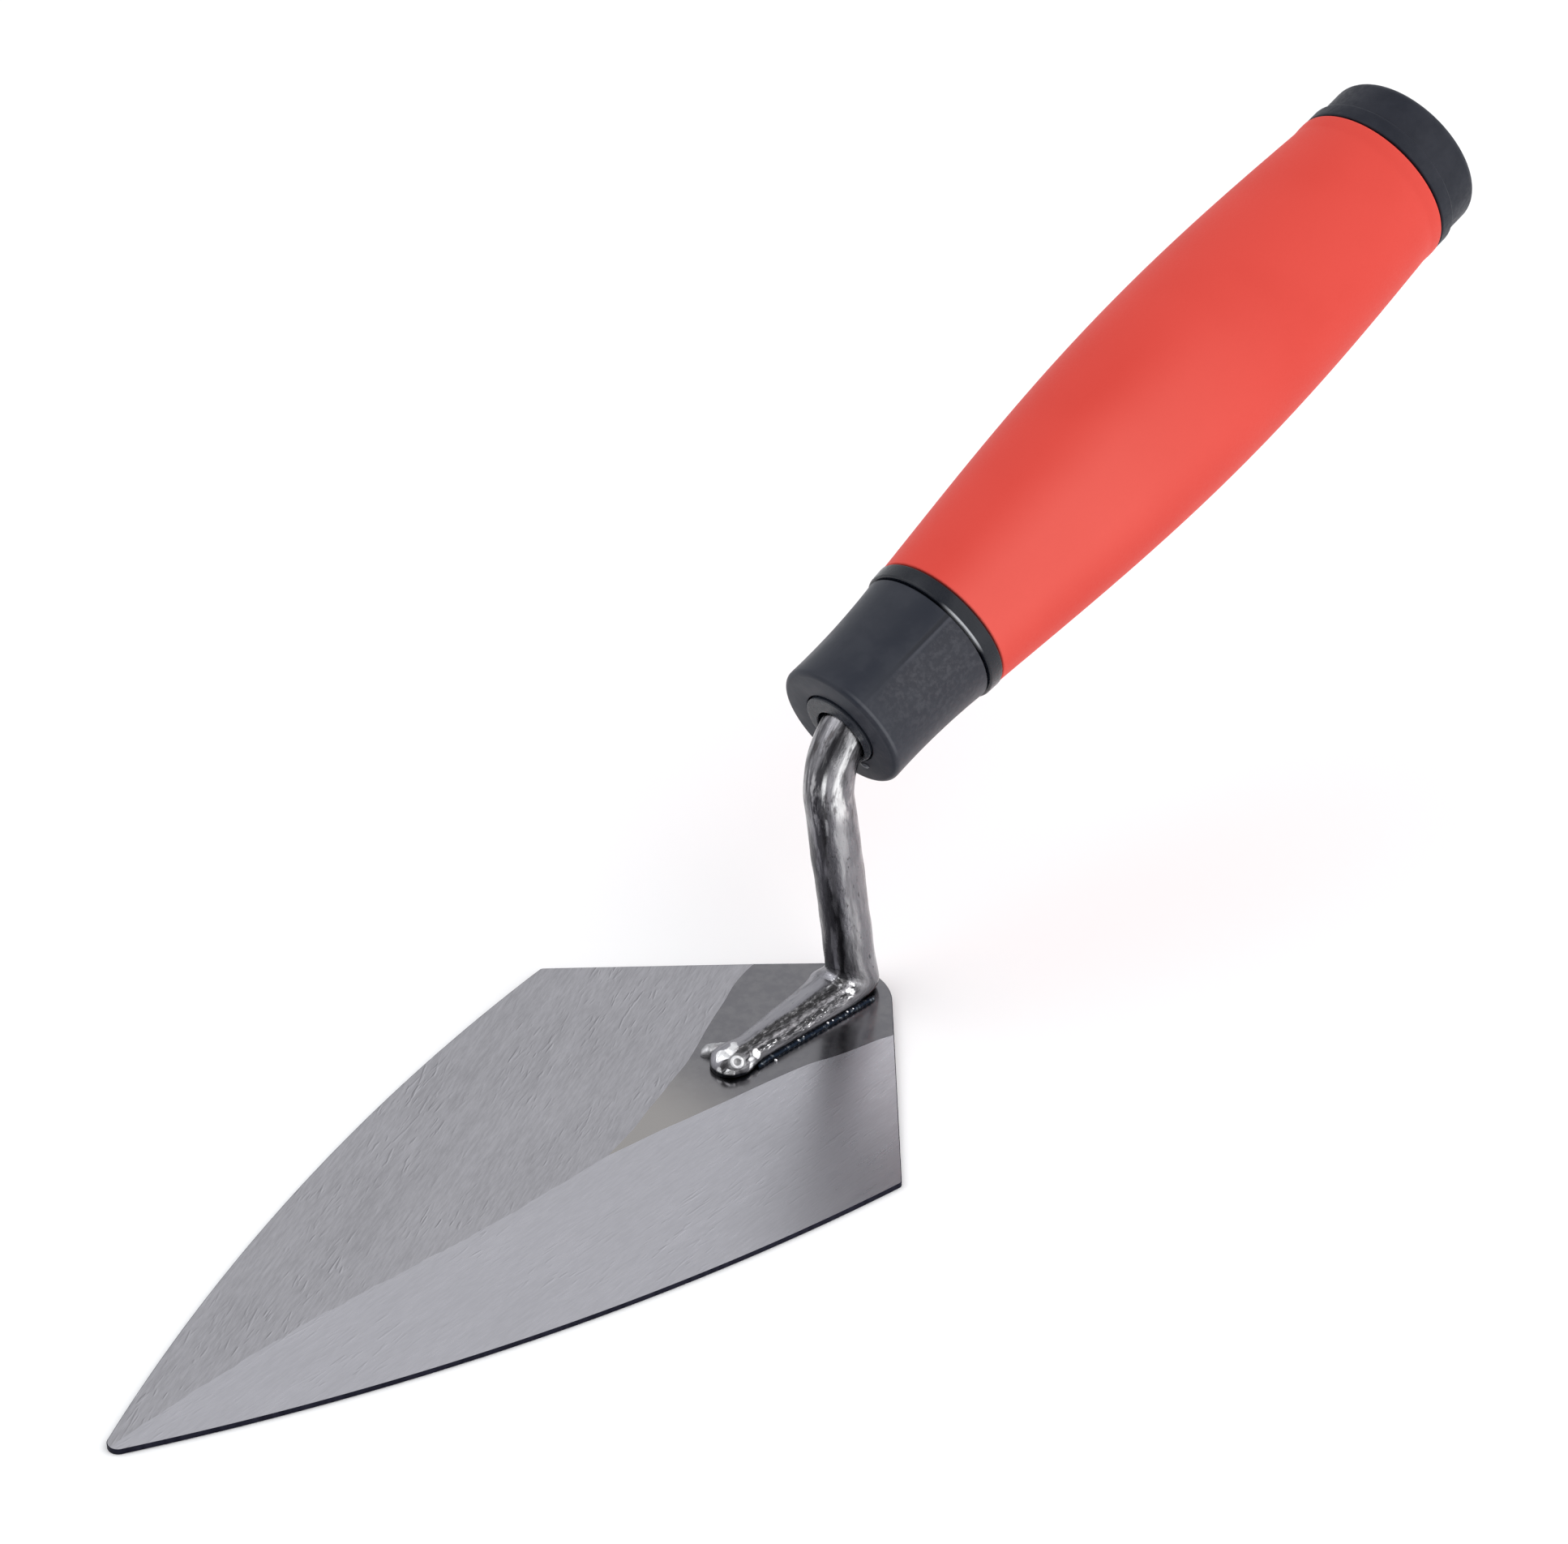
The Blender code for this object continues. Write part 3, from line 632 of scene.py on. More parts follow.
along, height = forged.axis(2, own), forged.axis(2)

# The neck: a painted dark reflection on its left, a painted bright reflection on its front, then broken light
# and dark marks and painted highlight strips near the bend
PLAIN, PAINTED_DARK_REFLECTION, PAINTED_BRIGHT_REFLECTION, PAINTED_HIGHLIGHT = (0.205, 0.203, 0.218), (0.055, 0.054, 0.060), (0.40, 0.398, 0.41), (0.93, 0.93,
                                                                                               0.93)
near_bend = forged.between(along, 56 * MM, 68 * MM)
neck_tone = forged.coats(
    PLAIN, (forged.band(turn, 0.65, 0.95, 2.20, 2.38), PAINTED_DARK_REFLECTION),
    (forged.band(turn, 2.28, 2.42, 2.72, 3.02), PAINTED_BRIGHT_REFLECTION),
    (forged.band(smears, 0.52, 0.62, 0.70, 0.85), (0.26, 0.255, 0.27)),
    (forged.times(near_bend, forged.between(shell_marks, 0.52, 0.66, 0.0, 0.7)), (0.50, 0.49, 0.50)),
    (forged.times(near_bend, forged.between(shell_marks, 0.46, 0.34, 0.0, 0.8)), (0.06, 0.055, 0.055)))
# Two painted highlight strips near the bend, broken up by the marks
for low_turn, high_turn, low, high in ((2.62, 2.95, 66 * MM, 80 * MM), (2.06, 2.26, 63 * MM, 74 * MM)):
    painted_highlight_strip = forged.times(forged.band(turn, low_turn - 0.06, low_turn + 0.06, high_turn - 0.06,
                                     high_turn + 0.06),
                         forged.band(along, low - 2 * MM, low + 2 * MM, high - 3 * MM, high),
                         forged.between(shell_marks, 0.40, 0.52, 0.15, 0.9))
    neck_tone = forged.mixed(painted_highlight_strip, neck_tone, PAINTED_HIGHLIGHT)

# The foot: a painted pale reflection on its left side, a painted dark reflection across its top, a painted
# highlight on the ridge and painted shade in the crease, with grit on its top and right
on_neck = forged.between(along, 29 * MM, 33 * MM)
gritty = forged.times(forged.band(turn, 1.62, 1.82, 2.72, 2.86), forged.between(on_neck, 0.0, 0.6, 1.0, 0.0))
foot_tone = forged.coats(
    (0.165, 0.163, 0.172), (forged.band(turn, 0.30, 0.50, 1.66, 1.86), (0.30, 0.295, 0.32)),
    (forged.band(turn, 1.74, 1.90, 2.14, 2.26), (0.085, 0.083, 0.085)),
    (forged.band(turn, 2.16, 2.26, 2.34, 2.42), (0.21, 0.205, 0.215)),
    (forged.band(turn, 2.38, 2.44, 2.54, 2.62), (0.035, 0.035, 0.038)),
    (forged.times(gritty, forged.between(grit, 0.50, 0.58, 0.0, 0.72)), (0.032, 0.031, 0.032)),
    (forged.times(gritty, forged.between(grit, 0.46, 0.40, 0.0, 0.50)), (0.42, 0.41, 0.42)))

# Painted highlights: the saddle where the foot meets the neck, glints in the crease, and bright blotches on
# the nose
painted_saddle_highlight = forged.times(forged.band(along, 23.5 * MM, 25.0 * MM, 29.5 * MM, 32.0 * MM),
                      forged.band(turn, 1.5, 1.8, 2.6, 2.9), forged.between(pits, 0.47, 0.40))
glints = forged.times(forged.band(turn, 2.42, 2.50, 2.70, 2.80), forged.between(speckle, 0.60, 0.66),
                      forged.band(along, 6 * MM, 9 * MM, 21 * MM, 25 * MM))
painted_nose_blotches = forged.times(forged.between(along, 4.2 * MM, 6.0 * MM, 1.0, 0.0),
                       forged.between(blotches, 0.49, 0.44))
painted_highlights = forged.maths("MAXIMUM", forged.maths("MAXIMUM", painted_saddle_highlight, glints), painted_nose_blotches)
from_mark = forged.away_from((*swung(*NOSE_MARK[:2], FOOT_TURN), NOSE_MARK[2]))
from_facet_highlight = forged.added(blotches, 1.2 * MM, forged.away_from(NOSE_FACET_HIGHLIGHT))
# Painted shade low on the foot's right side along the blade, and painted shadow under the front of the nose
painted_shade_low_right = forged.times(forged.between(height, BLADE_TOP + 0.55 * MM, BLADE_TOP + 0.95 * MM, 1.0, 0.0),
                         forged.between(forged.axis(1), 0.5 * MM, 1.6 * MM, 1.0, 0.0))
painted_shadow_under_nose = forged.times(forged.between(height, BLADE_TOP + 0.5 * MM, BLADE_TOP + 1.0 * MM, 1.0, 0.0),
                          forged.between(forged.axis(0), 0.4 * MM, 2.0 * MM, 1.0, 0.0))
# Coats over the foot and neck: streaks, pits, the painted highlights, a grey disc round the nose mark, the
# mark's ring and a facet painted bright as highlights, and painted shade low on the foot
tone = forged.coats(
    forged.mixed(on_neck, foot_tone, neck_tone),
    (forged.between(streaks, 0.50, 0.72, 0.0, 0.55), (0.10, 0.10, 0.105)),
    (forged.between(streaks, 0.46, 0.30, 0.0, 0.50), (0.36, 0.355, 0.37)),
    (forged.between(pits, 0.60, 0.72, 0.0, 0.75), (0.030, 0.030, 0.033)), (painted_highlights, (0.86, 0.86, 0.87)),
    (forged.between(from_mark, 1.20 * MM, 1.60 * MM, 1.0, 0.0), (0.26, 0.26, 0.265)),
    (forged.band(from_mark, 0.50 * MM, 0.66 * MM, 0.95 * MM, 1.12 * MM), (0.76, 0.76, 0.77)),
    (forged.between(from_facet_highlight, 1.18 * MM, 1.34 * MM, 1.0, 0.0), PAINTED_HIGHLIGHT),
    (painted_shade_low_right, (0.010, 0.012, 0.018)), (painted_shadow_under_nose, (0.010, 0.011, 0.014)))
rough = forged.maths("ADD", forged.between(streaks, 0.35, 0.70, 0.20, 0.36),
                     forged.between(pits, 0.55, 0.7, 0.0, 0.12))
rough = forged.maths("ADD", rough, forged.between(along, 24 * MM, 32 * MM, 0.09, 0.0))
rough = forged.added(painted_highlights, -0.22, forged.added(gritty, 0.12, rough))
relief = forged.maths("ADD", pits, forged.added(streaks, 1.0, forged.times(speckle, 0.4)))
relief = forged.maths("ADD", relief, forged.times(gritty, grit))
forged_bar = forged.wear(Base_Color=tone, Roughness=rough,
                         Normal=forged.bump(relief, 0.10 * MM, strength=0.8))
piece("forged_shank", [(rings, 0)], (forged_bar,), ("shank",), lie=bar_lie)


# ----------------------------------------------------------------------------
# Welds.  A thin run of weld metal down each side of the foot fixes it to the blade.  The left run
# starts in a fat rounded end beside the nose; the right one is heat-blued, with spatter beside it.
# ----------------------------------------------------------------------------
def tube(line, radius, steps, lumps=0.0, beat=1.0):
    """A round bead along a line in space, its radius rippling slowly, drawn to a point at both ends."""
    along = np.gradient(line, axis=0)
    along /= np.linalg.norm(along, axis=1)[:, None]
    sideways = np.cross(np.array([0.0, 0.0, 1.0]), along)
    sideways /= np.linalg.norm(sideways, axis=1)[:, None]
    upward = np.cross(along, sideways)
    turn = np.linspace(0, 2 * np.pi, steps + 1)
    count = np.arange(len(line))[:, None]
    ripple = 1 + lumps * (np.sin(beat * count) + 0.6 * np.sin(2.3 * beat * count + 2 * turn)
                          + 0.5 * np.sin(0.37 * beat * count + turn))
    size = radius[:, None] * ripple
    rings = (line[:, None] + sideways[:, None] * (size * np.cos(turn))[..., None]
             + upward[:, None] * (size * np.sin(turn))[..., None])
    rings[:, -1] = rings[:, 0]
    rings[0], rings[-1] = line[0], line[-1]
    return rings


def beside_foot(x, side, clear, height):
    """Points beside the foot at a clearance, turned with it about the bottom of the neck."""
    y = side * (foot_half_width(x) + clear)
    return np.stack([*swung(x, y, FOOT_TURN), np.broadcast_to(height, x.shape)], -1)


def ball(round_steps, rise_steps):
    """The unit ball as a grid: latitude from pole to pole, carried once round."""
    turn, rise = np.meshgrid(np.linspace(0, 2 * np.pi, round_steps),
                             np.linspace(-np.pi / 2, np.pi / 2, rise_steps), indexing="ij")
    return np.stack([np.cos(rise) * np.cos(turn), np.cos(rise) * np.sin(turn), np.sin(rise)], -1)


run_steel = Finish("weld_run", Metallic=1.0)
crust = run_steel.noise(run_steel.moved(1100), 4.0, 0.6)
run_tone = run_steel.mixed(run_steel.between(crust, 0.35, 0.65), (0.52, 0.52, 0.53), (0.36, 0.36, 0.37))
weld = run_steel.wear(Base_Color=run_tone, Roughness=run_steel.between(crust, 0.3, 0.7, 0.34, 0.48),
                      Normal=run_steel.bump(crust, 0.06 * MM))
blued = Finish("heat_blued_weld", Metallic=1.0)
crust = blued.noise(blued.moved(1300), 4.0, 0.65)
blued_tone = blued.mixed(blued.between(crust, 0.54, 0.72), (0.008, 0.012, 0.020), (0.16, 0.18, 0.20))
heat_blued = blued.wear(Base_Color=blued_tone, Roughness=blued.between(crust, 0.35, 0.7, 0.20, 0.45),
                        Normal=blued.bump(crust, 0.12 * MM))
molten = Finish("bright_spatter", Metallic=1.0)
speck = molten.noise(molten.moved(2500), 2.0, 0.5)
bright_spatter = molten.wear(Base_Color=molten.mixed(speck, (0.85, 0.85, 0.87), (0.6, 0.6, 0.62)),
                             Roughness=molten.between(speck, 0.3, 0.7, 0.10, 0.22))

run = np.linspace(27.5, 1.6, 150) * MM
left_line = beside_foot(run, 1.0, 0.10 * MM, BLADE_TOP + 0.25 * MM)
lead = np.clip((6.5 * MM - run) / (4.9 * MM), 0, 1)
left_line[:, 1] += 1.75 * MM * lead**1.2
left_line[:, 0] -= 0.7 * MM * lead
fat = 0.50 * MM + 0.70 * MM * np.sin(np.clip(lead * 1.5, 0, 1) * np.pi / 2)**2
fat *= np.sqrt(np.clip(1 - np.linspace(-1, 1, len(run))**40, 0, 1))
fat *= np.sqrt(np.clip((run - 1.55 * MM) / (1.1 * MM), 0, 1))
piece("left_weld_run", [(tube(left_line, fat, 28, 0.035, 0.55), 0)], (weld,), ("weld_left",))

RIGHT_CLEAR = 0.22 * MM
SPATTER = np.array([(7.6, 0.95, 0.30), (13.1, 0.18, 0.20), (14.3, 0.10, 0.14), (19.3, 0.16, 0.24),
                    (20.3, 0.22, 0.18), (23.4, 0.20, 0.22), (24.6, 0.24, 0.17)]) * MM  # along, beyond, radius
run = np.linspace(29.5, 4.4, 170) * MM
right_line = beside_foot(run, -1.0, RIGHT_CLEAR, BLADE_TOP + 0.22 * MM)
thin = 0.50 * MM * np.sqrt(np.clip(1 - np.linspace(-1, 1, len(run))**30, 0, 1))
spatter_at = beside_foot(SPATTER[:, 0], -1.0, RIGHT_CLEAR + SPATTER[:, 1], BLADE_TOP + 0.66 * MM)
spatter_at[0, 2] = BLADE_TOP + 0.16 * MM
patches = [(tube(right_line, thin, 24, 0.06, 0.9), 0)]
patches += [(middle + ball(17, 10) * size, 1) for middle, size in zip(spatter_at, SPATTER[:, 2])]
piece("right_weld_run", patches, (heat_blued, bright_spatter), ("weld_right",))


# ----------------------------------------------------------------------------
# Front collar.  A waisted ring of blue-black plastic at the front of the handle, moulded in two
# halves, which leaves a fine parting line; it is pushed over the core's spigot up to its ring.
# ----------------------------------------------------------------------------
def eased(profile, rounds, steps=9):
    """A profile with each corner replaced by an arc of its own radius, where that is more than nothing."""
    points = np.array(profile, float) * MM
    parts = [points[:1]]
    for before, corner, after, radius in zip(points, points[1:], points[2:], rounds):
        parts.append(round_corner(before, corner, after, radius * MM, steps) if radius else corner[None])
    return np.concatenate(parts + [points[-1:]])


def turned(profile, sides=180):
    """A profile of (distance, radius) turned about the handle's axis."""
    turn = np.linspace(0, 2 * np.pi, sides + 1)
    ring = np.cos(turn)[:, None] * OVER + np.sin(turn)[:, None] * SIDE
    ring[-1] = ring[0]
    return HANDLE_START + profile[:, :1, None] * AXIS + profile[:, 1:, None] * ring


def around_handle(finish):
    """The distance along the handle's axis and the angle round it from the top, in a finish."""
    middle = finish.mapped(finish.place, Location=tuple(-HANDLE_START))
    lay = finish.mapped(middle, Rotation=(0.0, float(HANDLE_ANGLE), 0.0))
    return finish.axis(0, lay), finish.maths("ARCTAN2", finish.axis(1, lay), finish.axis(2, lay))


def waisted(distance):
    """The collar's radius: least at its waist, growing with the square of the distance from there."""
    return 10.86 * MM + 3.8 * (distance - 5.9 * MM)**2


COLLAR_FRONT, COLLAR_BACK, COLLAR_HOLE, COLLAR_BORE, COLLAR_WALL = 0.4, 20.6, 6.3, 9.3, 2.5
body = np.linspace(1.6, COLLAR_BACK - 0.5, 40) * MM
face = eased([(2.0, COLLAR_HOLE), (COLLAR_FRONT, COLLAR_HOLE), (COLLAR_FRONT, waisted(0.0015) / MM),
              (1.6, waisted(0.0016) / MM)], (0.25, 0.85))
tail = eased([(COLLAR_BACK - 0.5, waisted(0.0201) / MM), (COLLAR_BACK, waisted(0.0206) / MM),
              (COLLAR_BACK, COLLAR_BORE)], (0.22,))
bore = np.array([(COLLAR_WALL, COLLAR_BORE), (COLLAR_WALL, COLLAR_HOLE), (2.0, COLLAR_HOLE)]) * MM
profile = np.concatenate([face[:-1], np.stack([body, waisted(body)], -1), tail[1:], bore])
shell = turned(profile, 240)

PARTING = float(np.radians(-37.0))
black = Finish("collar_plastic", Specular_IOR_Level=0.25)
distance, turn_angle = around_handle(black)
grained = black.times(black.between(turn_angle, PARTING - 0.16, PARTING + 0.02, 1.0, 0.0),
                      black.between(turn_angle, PARTING - 1.5, PARTING - 0.5, 0.25, 1.0),
                      black.between(distance, 3 * MM, 10 * MM, 0.45, 1.0))
leather = black.noise(black.moved(1100), 4.0, 0.6)
cloudy = black.noise(black.moved(210), 3.0, 0.6)
off_line = black.maths("SUBTRACT", turn_angle, PARTING)
to_back = black.between(distance, 7 * MM, 14 * MM, 0.15, 1.0)
# The parting line, as a groove in the surface and as a line darkened with painted shade
seam_line = black.times(black.between(black.maths("ABSOLUTE", off_line), 0.010, 0.045, 1.0, 0.0), to_back)
# A painted highlight beside the parting line, stronger towards the back
painted_seam_highlight = black.times(black.band(off_line, -0.10, -0.055, -0.05, -0.02), to_back, 0.40)
# A painted highlight on part of the front rim
painted_rim_highlight = black.times(black.band(distance, 0.75 * MM, 0.95 * MM, 1.10 * MM, 1.45 * MM),
                        black.band(turn_angle, -1.75, -1.35, -0.75, -0.25), 0.55)
tone = black.coats(
    (0.016, 0.019, 0.029), (grained, (0.024, 0.025, 0.034)),
    (black.times(black.between(leather, 0.42, 0.66, 0.0, 0.75), grained), (0.055, 0.056, 0.067)),
    (black.between(cloudy, 0.40, 0.66, 0.0, 0.40), (0.034, 0.037, 0.048)),
    (painted_seam_highlight, (0.085, 0.088, 0.105)),
    (painted_rim_highlight, (0.11, 0.115, 0.13)), (black.times(seam_line, 0.7), (0.012, 0.013, 0.018)))
skin = black.times(leather, black.added(grained, 0.8, 0.2))
relief = black.maths("SUBTRACT", skin, black.times(seam_line, 0.5))
collar_plastic = black.wear(Base_Color=tone, Roughness=black.between(cloudy, 0.3, 0.7, 0.38, 0.50),
                            Normal=black.bump(relief, 0.09 * MM))
piece("collar", [(shell, 0)], (collar_plastic,), ("front_collar",))


# ----------------------------------------------------------------------------
# Handle core.  The hard plastic body moulded round the tang: a nub with the shank's hole low in
# it, a spigot for the collar, a raised ring, and the barrel that carries the rubber grip.
# ----------------------------------------------------------------------------
NUB, SPIGOT, RING_RADIUS, RING_FRONT, RING_BACK = 6.15, 9.0, 12.2, 20.9, 23.5
GRIP_FRONT, GRIP_BACK, GRIP_WALL, GAP = 23.8, 129.1, 2.3, 0.3
HOLLOW_FROM, HOLLOW = 92.0, 8.6


def grip_radius(distance):
    """A straight taper, a skewed half wave of swell over it, and a small lift at the back rim."""
    share = np.clip((distance / MM - GRIP_FRONT) / (GRIP_BACK - GRIP_FRONT), 0, 1)
    taper = 12.06 + (14.00 - 12.06) * share
    swell = 2.93 * np.sin(np.pi * share**1.04)
    rim = np.clip(1 - (GRIP_BACK - distance / MM) / 2.6, 0, 1)
    return (taper + swell + 0.25 * np.sin(rim * np.pi / 2)) * MM


def hole_ring(distance, wide, tall, sides=180):
    """A ring of the shank's hole.  Its middle follows the bend: under the axis in front, on it further in."""
    drop = BEND - np.sqrt(BEND**2 - np.clip(BEND_IN - distance, 0, None)**2)
    turn = np.linspace(0, 2 * np.pi, sides + 1)
    middle = HANDLE_START + AXIS * distance - OVER * (drop - 0.22 * MM)
    ring = middle + np.cos(turn)[:, None] * OVER * tall + np.sin(turn)[:, None] * SIDE * wide
    ring[-1] = ring[0]
    return ring


depths = np.linspace(16.0, 0.35, 24) * MM
mouth = (4.35 + 0.35 * np.clip(1 - depths / (6 * MM), 0, 1)) * MM
hole = np.stack([hole_ring(distance, 4.35 * MM, tall) for distance, tall in zip(depths, mouth)])
quarter = np.linspace(0, np.pi / 2, 6)
flare = 0.3 * MM * (1 - np.cos(quarter))
lip = np.stack([hole_ring(distance, 4.35 * MM + wider, mouth[-1] + wider)
                for distance, wider in zip(0.35 * MM * (1 - np.sin(quarter)), flare)])
hole_end = np.repeat(hole[:1].mean(axis=1, keepdims=True), hole.shape[1], axis=1)
barrel_at = np.linspace(RING_BACK, GRIP_BACK, 30) * MM
barrel = np.stack([barrel_at, grip_radius(barrel_at) - (GRIP_WALL + GAP) * MM], -1)
front_part = eased([(0.0, 5.4), (0.0, NUB), (COLLAR_WALL + GAP, NUB), (COLLAR_WALL + GAP, SPIGOT),
                    (RING_FRONT, SPIGOT), (RING_FRONT, RING_RADIUS - 0.15), (RING_BACK, RING_RADIUS),
                    (RING_BACK, barrel[0, 1] / MM)], (0.22, 0, 0, 0, 0.38, 0.25))
back_part = np.array([(GRIP_BACK, HOLLOW), (HOLLOW_FROM, HOLLOW), (HOLLOW_FROM, 0.0)]) * MM
outside = turned(np.concatenate([front_part, barrel[1:], back_part]))
nub_face = ruled(lip[-1], outside[0], 6)
hard = Finish("core_plastic", Specular_IOR_Level=0.26)
distance, turn_angle = around_handle(hard)
fine = hard.noise(hard.moved(1500), 3.0, 0.6)
cloudy = hard.noise(hard.moved(260), 2.0, 0.5)
# A painted highlight along part of the ring's front edge
painted_edge_highlight = hard.times(hard.band(distance, 20.86 * MM, 20.94 * MM, 21.10 * MM, 21.24 * MM),
                       hard.band(turn_angle, *np.radians([-78, -62, -44, -26]).tolist()))
tone = hard.coats((0.011, 0.014, 0.021), (hard.between(cloudy, 0.35, 0.65), (0.018, 0.021, 0.029)),
                  (hard.between(distance, 15 * MM, 18 * MM, 0.0, 0.6), (0.003, 0.004, 0.008)),
                  (painted_edge_highlight, (0.50, 0.51, 0.53)))
core_plastic = hard.wear(Base_Color=tone, Roughness=hard.between(fine, 0.3, 0.7, 0.24, 0.34),
                         Normal=hard.bump(fine, 0.02 * MM))
patches = [(hole, 0), (np.stack([hole_end[0], hole[0]]), 0), (np.concatenate([hole[-1:], lip[1:]]), 0),
           (nub_face, 0), (outside, 0)]
piece("core", patches, (core_plastic,), ("handle_core",))


# ----------------------------------------------------------------------------
# Moulding flash.  A glossy curl of the core's own plastic, squeezed out below
# the shank's hole when the body was moulded round the tang; its pale speckled colour is a painted highlight.
# ----------------------------------------------------------------------------
FLASH_WIDE, FLASH_TALL, FLASH_THICK = 0.85 * MM, 0.45 * MM, 0.32 * MM
flash_at = HANDLE_START + AXIS * 0.42 * MM - OVER * 6.75 * MM - SIDE * 2.9 * MM
flash = flash_at + ball(33, 20) @ np.stack([SIDE * FLASH_WIDE, OVER * FLASH_TALL, AXIS * FLASH_THICK])
glossy = Finish("flash_painted_highlight", Roughness=0.12)
speck = glossy.noise(glossy.moved(1800), 2.0, 0.5)
flash_painted_highlight = glossy.wear(Base_Color=glossy.mixed(speck, (0.05, 0.055, 0.07), (0.30, 0.31, 0.33)),
                             Normal=glossy.bump(speck, 0.08 * MM))
piece("core_flash", [(flash, 0)], (flash_painted_highlight,))


# ----------------------------------------------------------------------------
# Grip sleeve.  Soft red rubber moulded over the barrel, thickest in the middle of the palm, with a
# plain matte skin and a slightly raised rim where it meets the cap.
# ----------------------------------------------------------------------------
outer_at = np.concatenate([np.linspace(GRIP_FRONT + 0.3, GRIP_BACK - 2.6, 150),
                           np.linspace(GRIP_BACK - 2.5, GRIP_BACK - 0.4, 14)]) * MM
outer = np.stack([outer_at, grip_radius(outer_at)], -1)
lift = grip_radius(outer_at[:1])[0] / MM
front_end = eased([(GRIP_FRONT, lift - GRIP_WALL), (GRIP_FRONT, lift), (GRIP_FRONT + 0.6, lift)],
                  (0.28,))[:-1]
last = outer[-1, 1] / MM
back_end = eased([(GRIP_BACK - 0.4, last), (GRIP_BACK, last), (GRIP_BACK, last - GRIP_WALL)], (0.3,))[1:]
inner_at = np.linspace(GRIP_BACK, GRIP_FRONT, 40) * MM
inner = np.stack([inner_at, grip_radius(inner_at) - GRIP_WALL * MM], -1)
front_end[0, 1] = inner[-1, 1]
back_end[-1, 1] = inner[0, 1]
sleeve = turned(np.concatenate([front_end, outer, back_end, inner[1:]]), 240)
sleeve[-1] = sleeve[0]
rubber = Finish("red_rubber", Specular_IOR_Level=0.09, Sheen_Weight=0.04, Sheen_Roughness=0.4)
skin = rubber.noise(rubber.moved(2600), 3.0, 0.6)
cloudy = rubber.noise(rubber.moved(38), 2.0, 0.5)
distance, turn_angle = around_handle(rubber)
# A painted pool of light on the side towards the key panel, strongest at the front and fading out towards the
# back
painted_light_band = rubber.times(rubber.band(turn_angle, -1.9, -1.2, -0.8, -0.1),
                     rubber.between(distance, 45 * MM, 100 * MM, 0.44, 0.0))
# A painted sheen on the opposite side, fading out towards the back
painted_sheen_band = rubber.times(rubber.band(turn_angle, 0.2, 1.0, 1.3, 2.6),
                     rubber.between(distance, 80 * MM, 122 * MM, 0.13, 0.0))
tone = rubber.coats((0.645, 0.060, 0.044), (rubber.between(cloudy, 0.35, 0.65), (0.675, 0.068, 0.051)),
                    (painted_light_band, (0.82, 0.145, 0.118)), (painted_sheen_band, (0.50, 0.14, 0.14)))
red_rubber = rubber.wear(Base_Color=tone, Roughness=rubber.between(skin, 0.3, 0.7, 0.52, 0.64),
                         Normal=rubber.bump(skin, 0.012 * MM))
piece("rubber_grip", [(sleeve, 0)], (red_rubber,), ("grip_sleeve",))


# ----------------------------------------------------------------------------
# End cap.  A hollow blue-black plastic plug pressed into the back of the core, with a thin lip that
# covers the end of the rubber and a rounded rim round its flat end.
# ----------------------------------------------------------------------------
CAP_FROM, LIP, LIP_BACK, CAP, CAP_END = 129.4, 14.2, 132.0, 13.67, 138.9
PLUG_FROM, PLUG, PLUG_BORE, CAP_WALL = 116.5, 8.3, 6.2, 2.9
cap_profile = eased([(PLUG_FROM, PLUG_BORE), (PLUG_FROM, PLUG - 0.8), (PLUG_FROM + 2, PLUG), (CAP_FROM, PLUG),
                     (CAP_FROM, LIP), (LIP_BACK, LIP), (LIP_BACK + 0.35, CAP), (CAP_END, CAP),
                     (CAP_END, 0.0)],
                    (0.2, 0, 0, 0.32, 0.35, 0.25, 1.6), 13)
cap_inside = np.array([(CAP_END - CAP_WALL, 0.0), (CAP_END - CAP_WALL, PLUG_BORE),
                       (PLUG_FROM, PLUG_BORE)]) * MM
cap_outer, cap_inner = turned(cap_profile, 240), turned(cap_inside, 240)
plug = Finish("cap_plastic", Specular_IOR_Level=0.15)
fine = plug.noise(plug.moved(1200), 4.0, 0.6)
cloudy = plug.noise(plug.moved(240), 2.0, 0.5)
tone = plug.mixed(plug.between(cloudy, 0.35, 0.65), (0.013, 0.015, 0.023), (0.019, 0.021, 0.030))
cap_plastic = plug.wear(Base_Color=tone, Roughness=plug.between(fine, 0.3, 0.7, 0.40, 0.54),
                        Normal=plug.bump(fine, 0.035 * MM))
piece("cap", [(cap_outer, 0), (cap_inner, 0)], (cap_plastic,), ("end_cap",))


# ----------------------------------------------------------------------------
# Stage.  A plain pale floor, a room that is dimmer on the camera's side, two big
# soft panels, and the camera.
# ----------------------------------------------------------------------------
FLOOR_REACH, FLOOR_DROP = 4.0, 0.05 * MM
floor_line = np.linspace(-1, 1, 3) * FLOOR_REACH
floor_x, floor_y = np.meshgrid(floor_line, floor_line, indexing="ij")
floor_points = np.stack([floor_x, floor_y, np.full_like(floor_x, -FLOOR_DROP)], -1).reshape(-1, 3)
index = np.arange(9).reshape(3, 3)
floor_faces = np.stack([index[:-1, :-1], index[1:, :-1], index[1:, 1:], index[:-1, 1:]], -1).reshape(-1, 4)
floor_mesh = bpy.data.meshes.new("floor")
floor_mesh.from_pydata(floor_points.tolist(), [], floor_faces.tolist())
pale = Finish("pale_floor", Roughness=0.9, Specular_IOR_Level=0.1)
paper = pale.noise(pale.moved(9), 2.0, 0.5)
floor_tone = pale.mixed(paper, (0.965, 0.965, 0.965), (0.975, 0.975, 0.975))
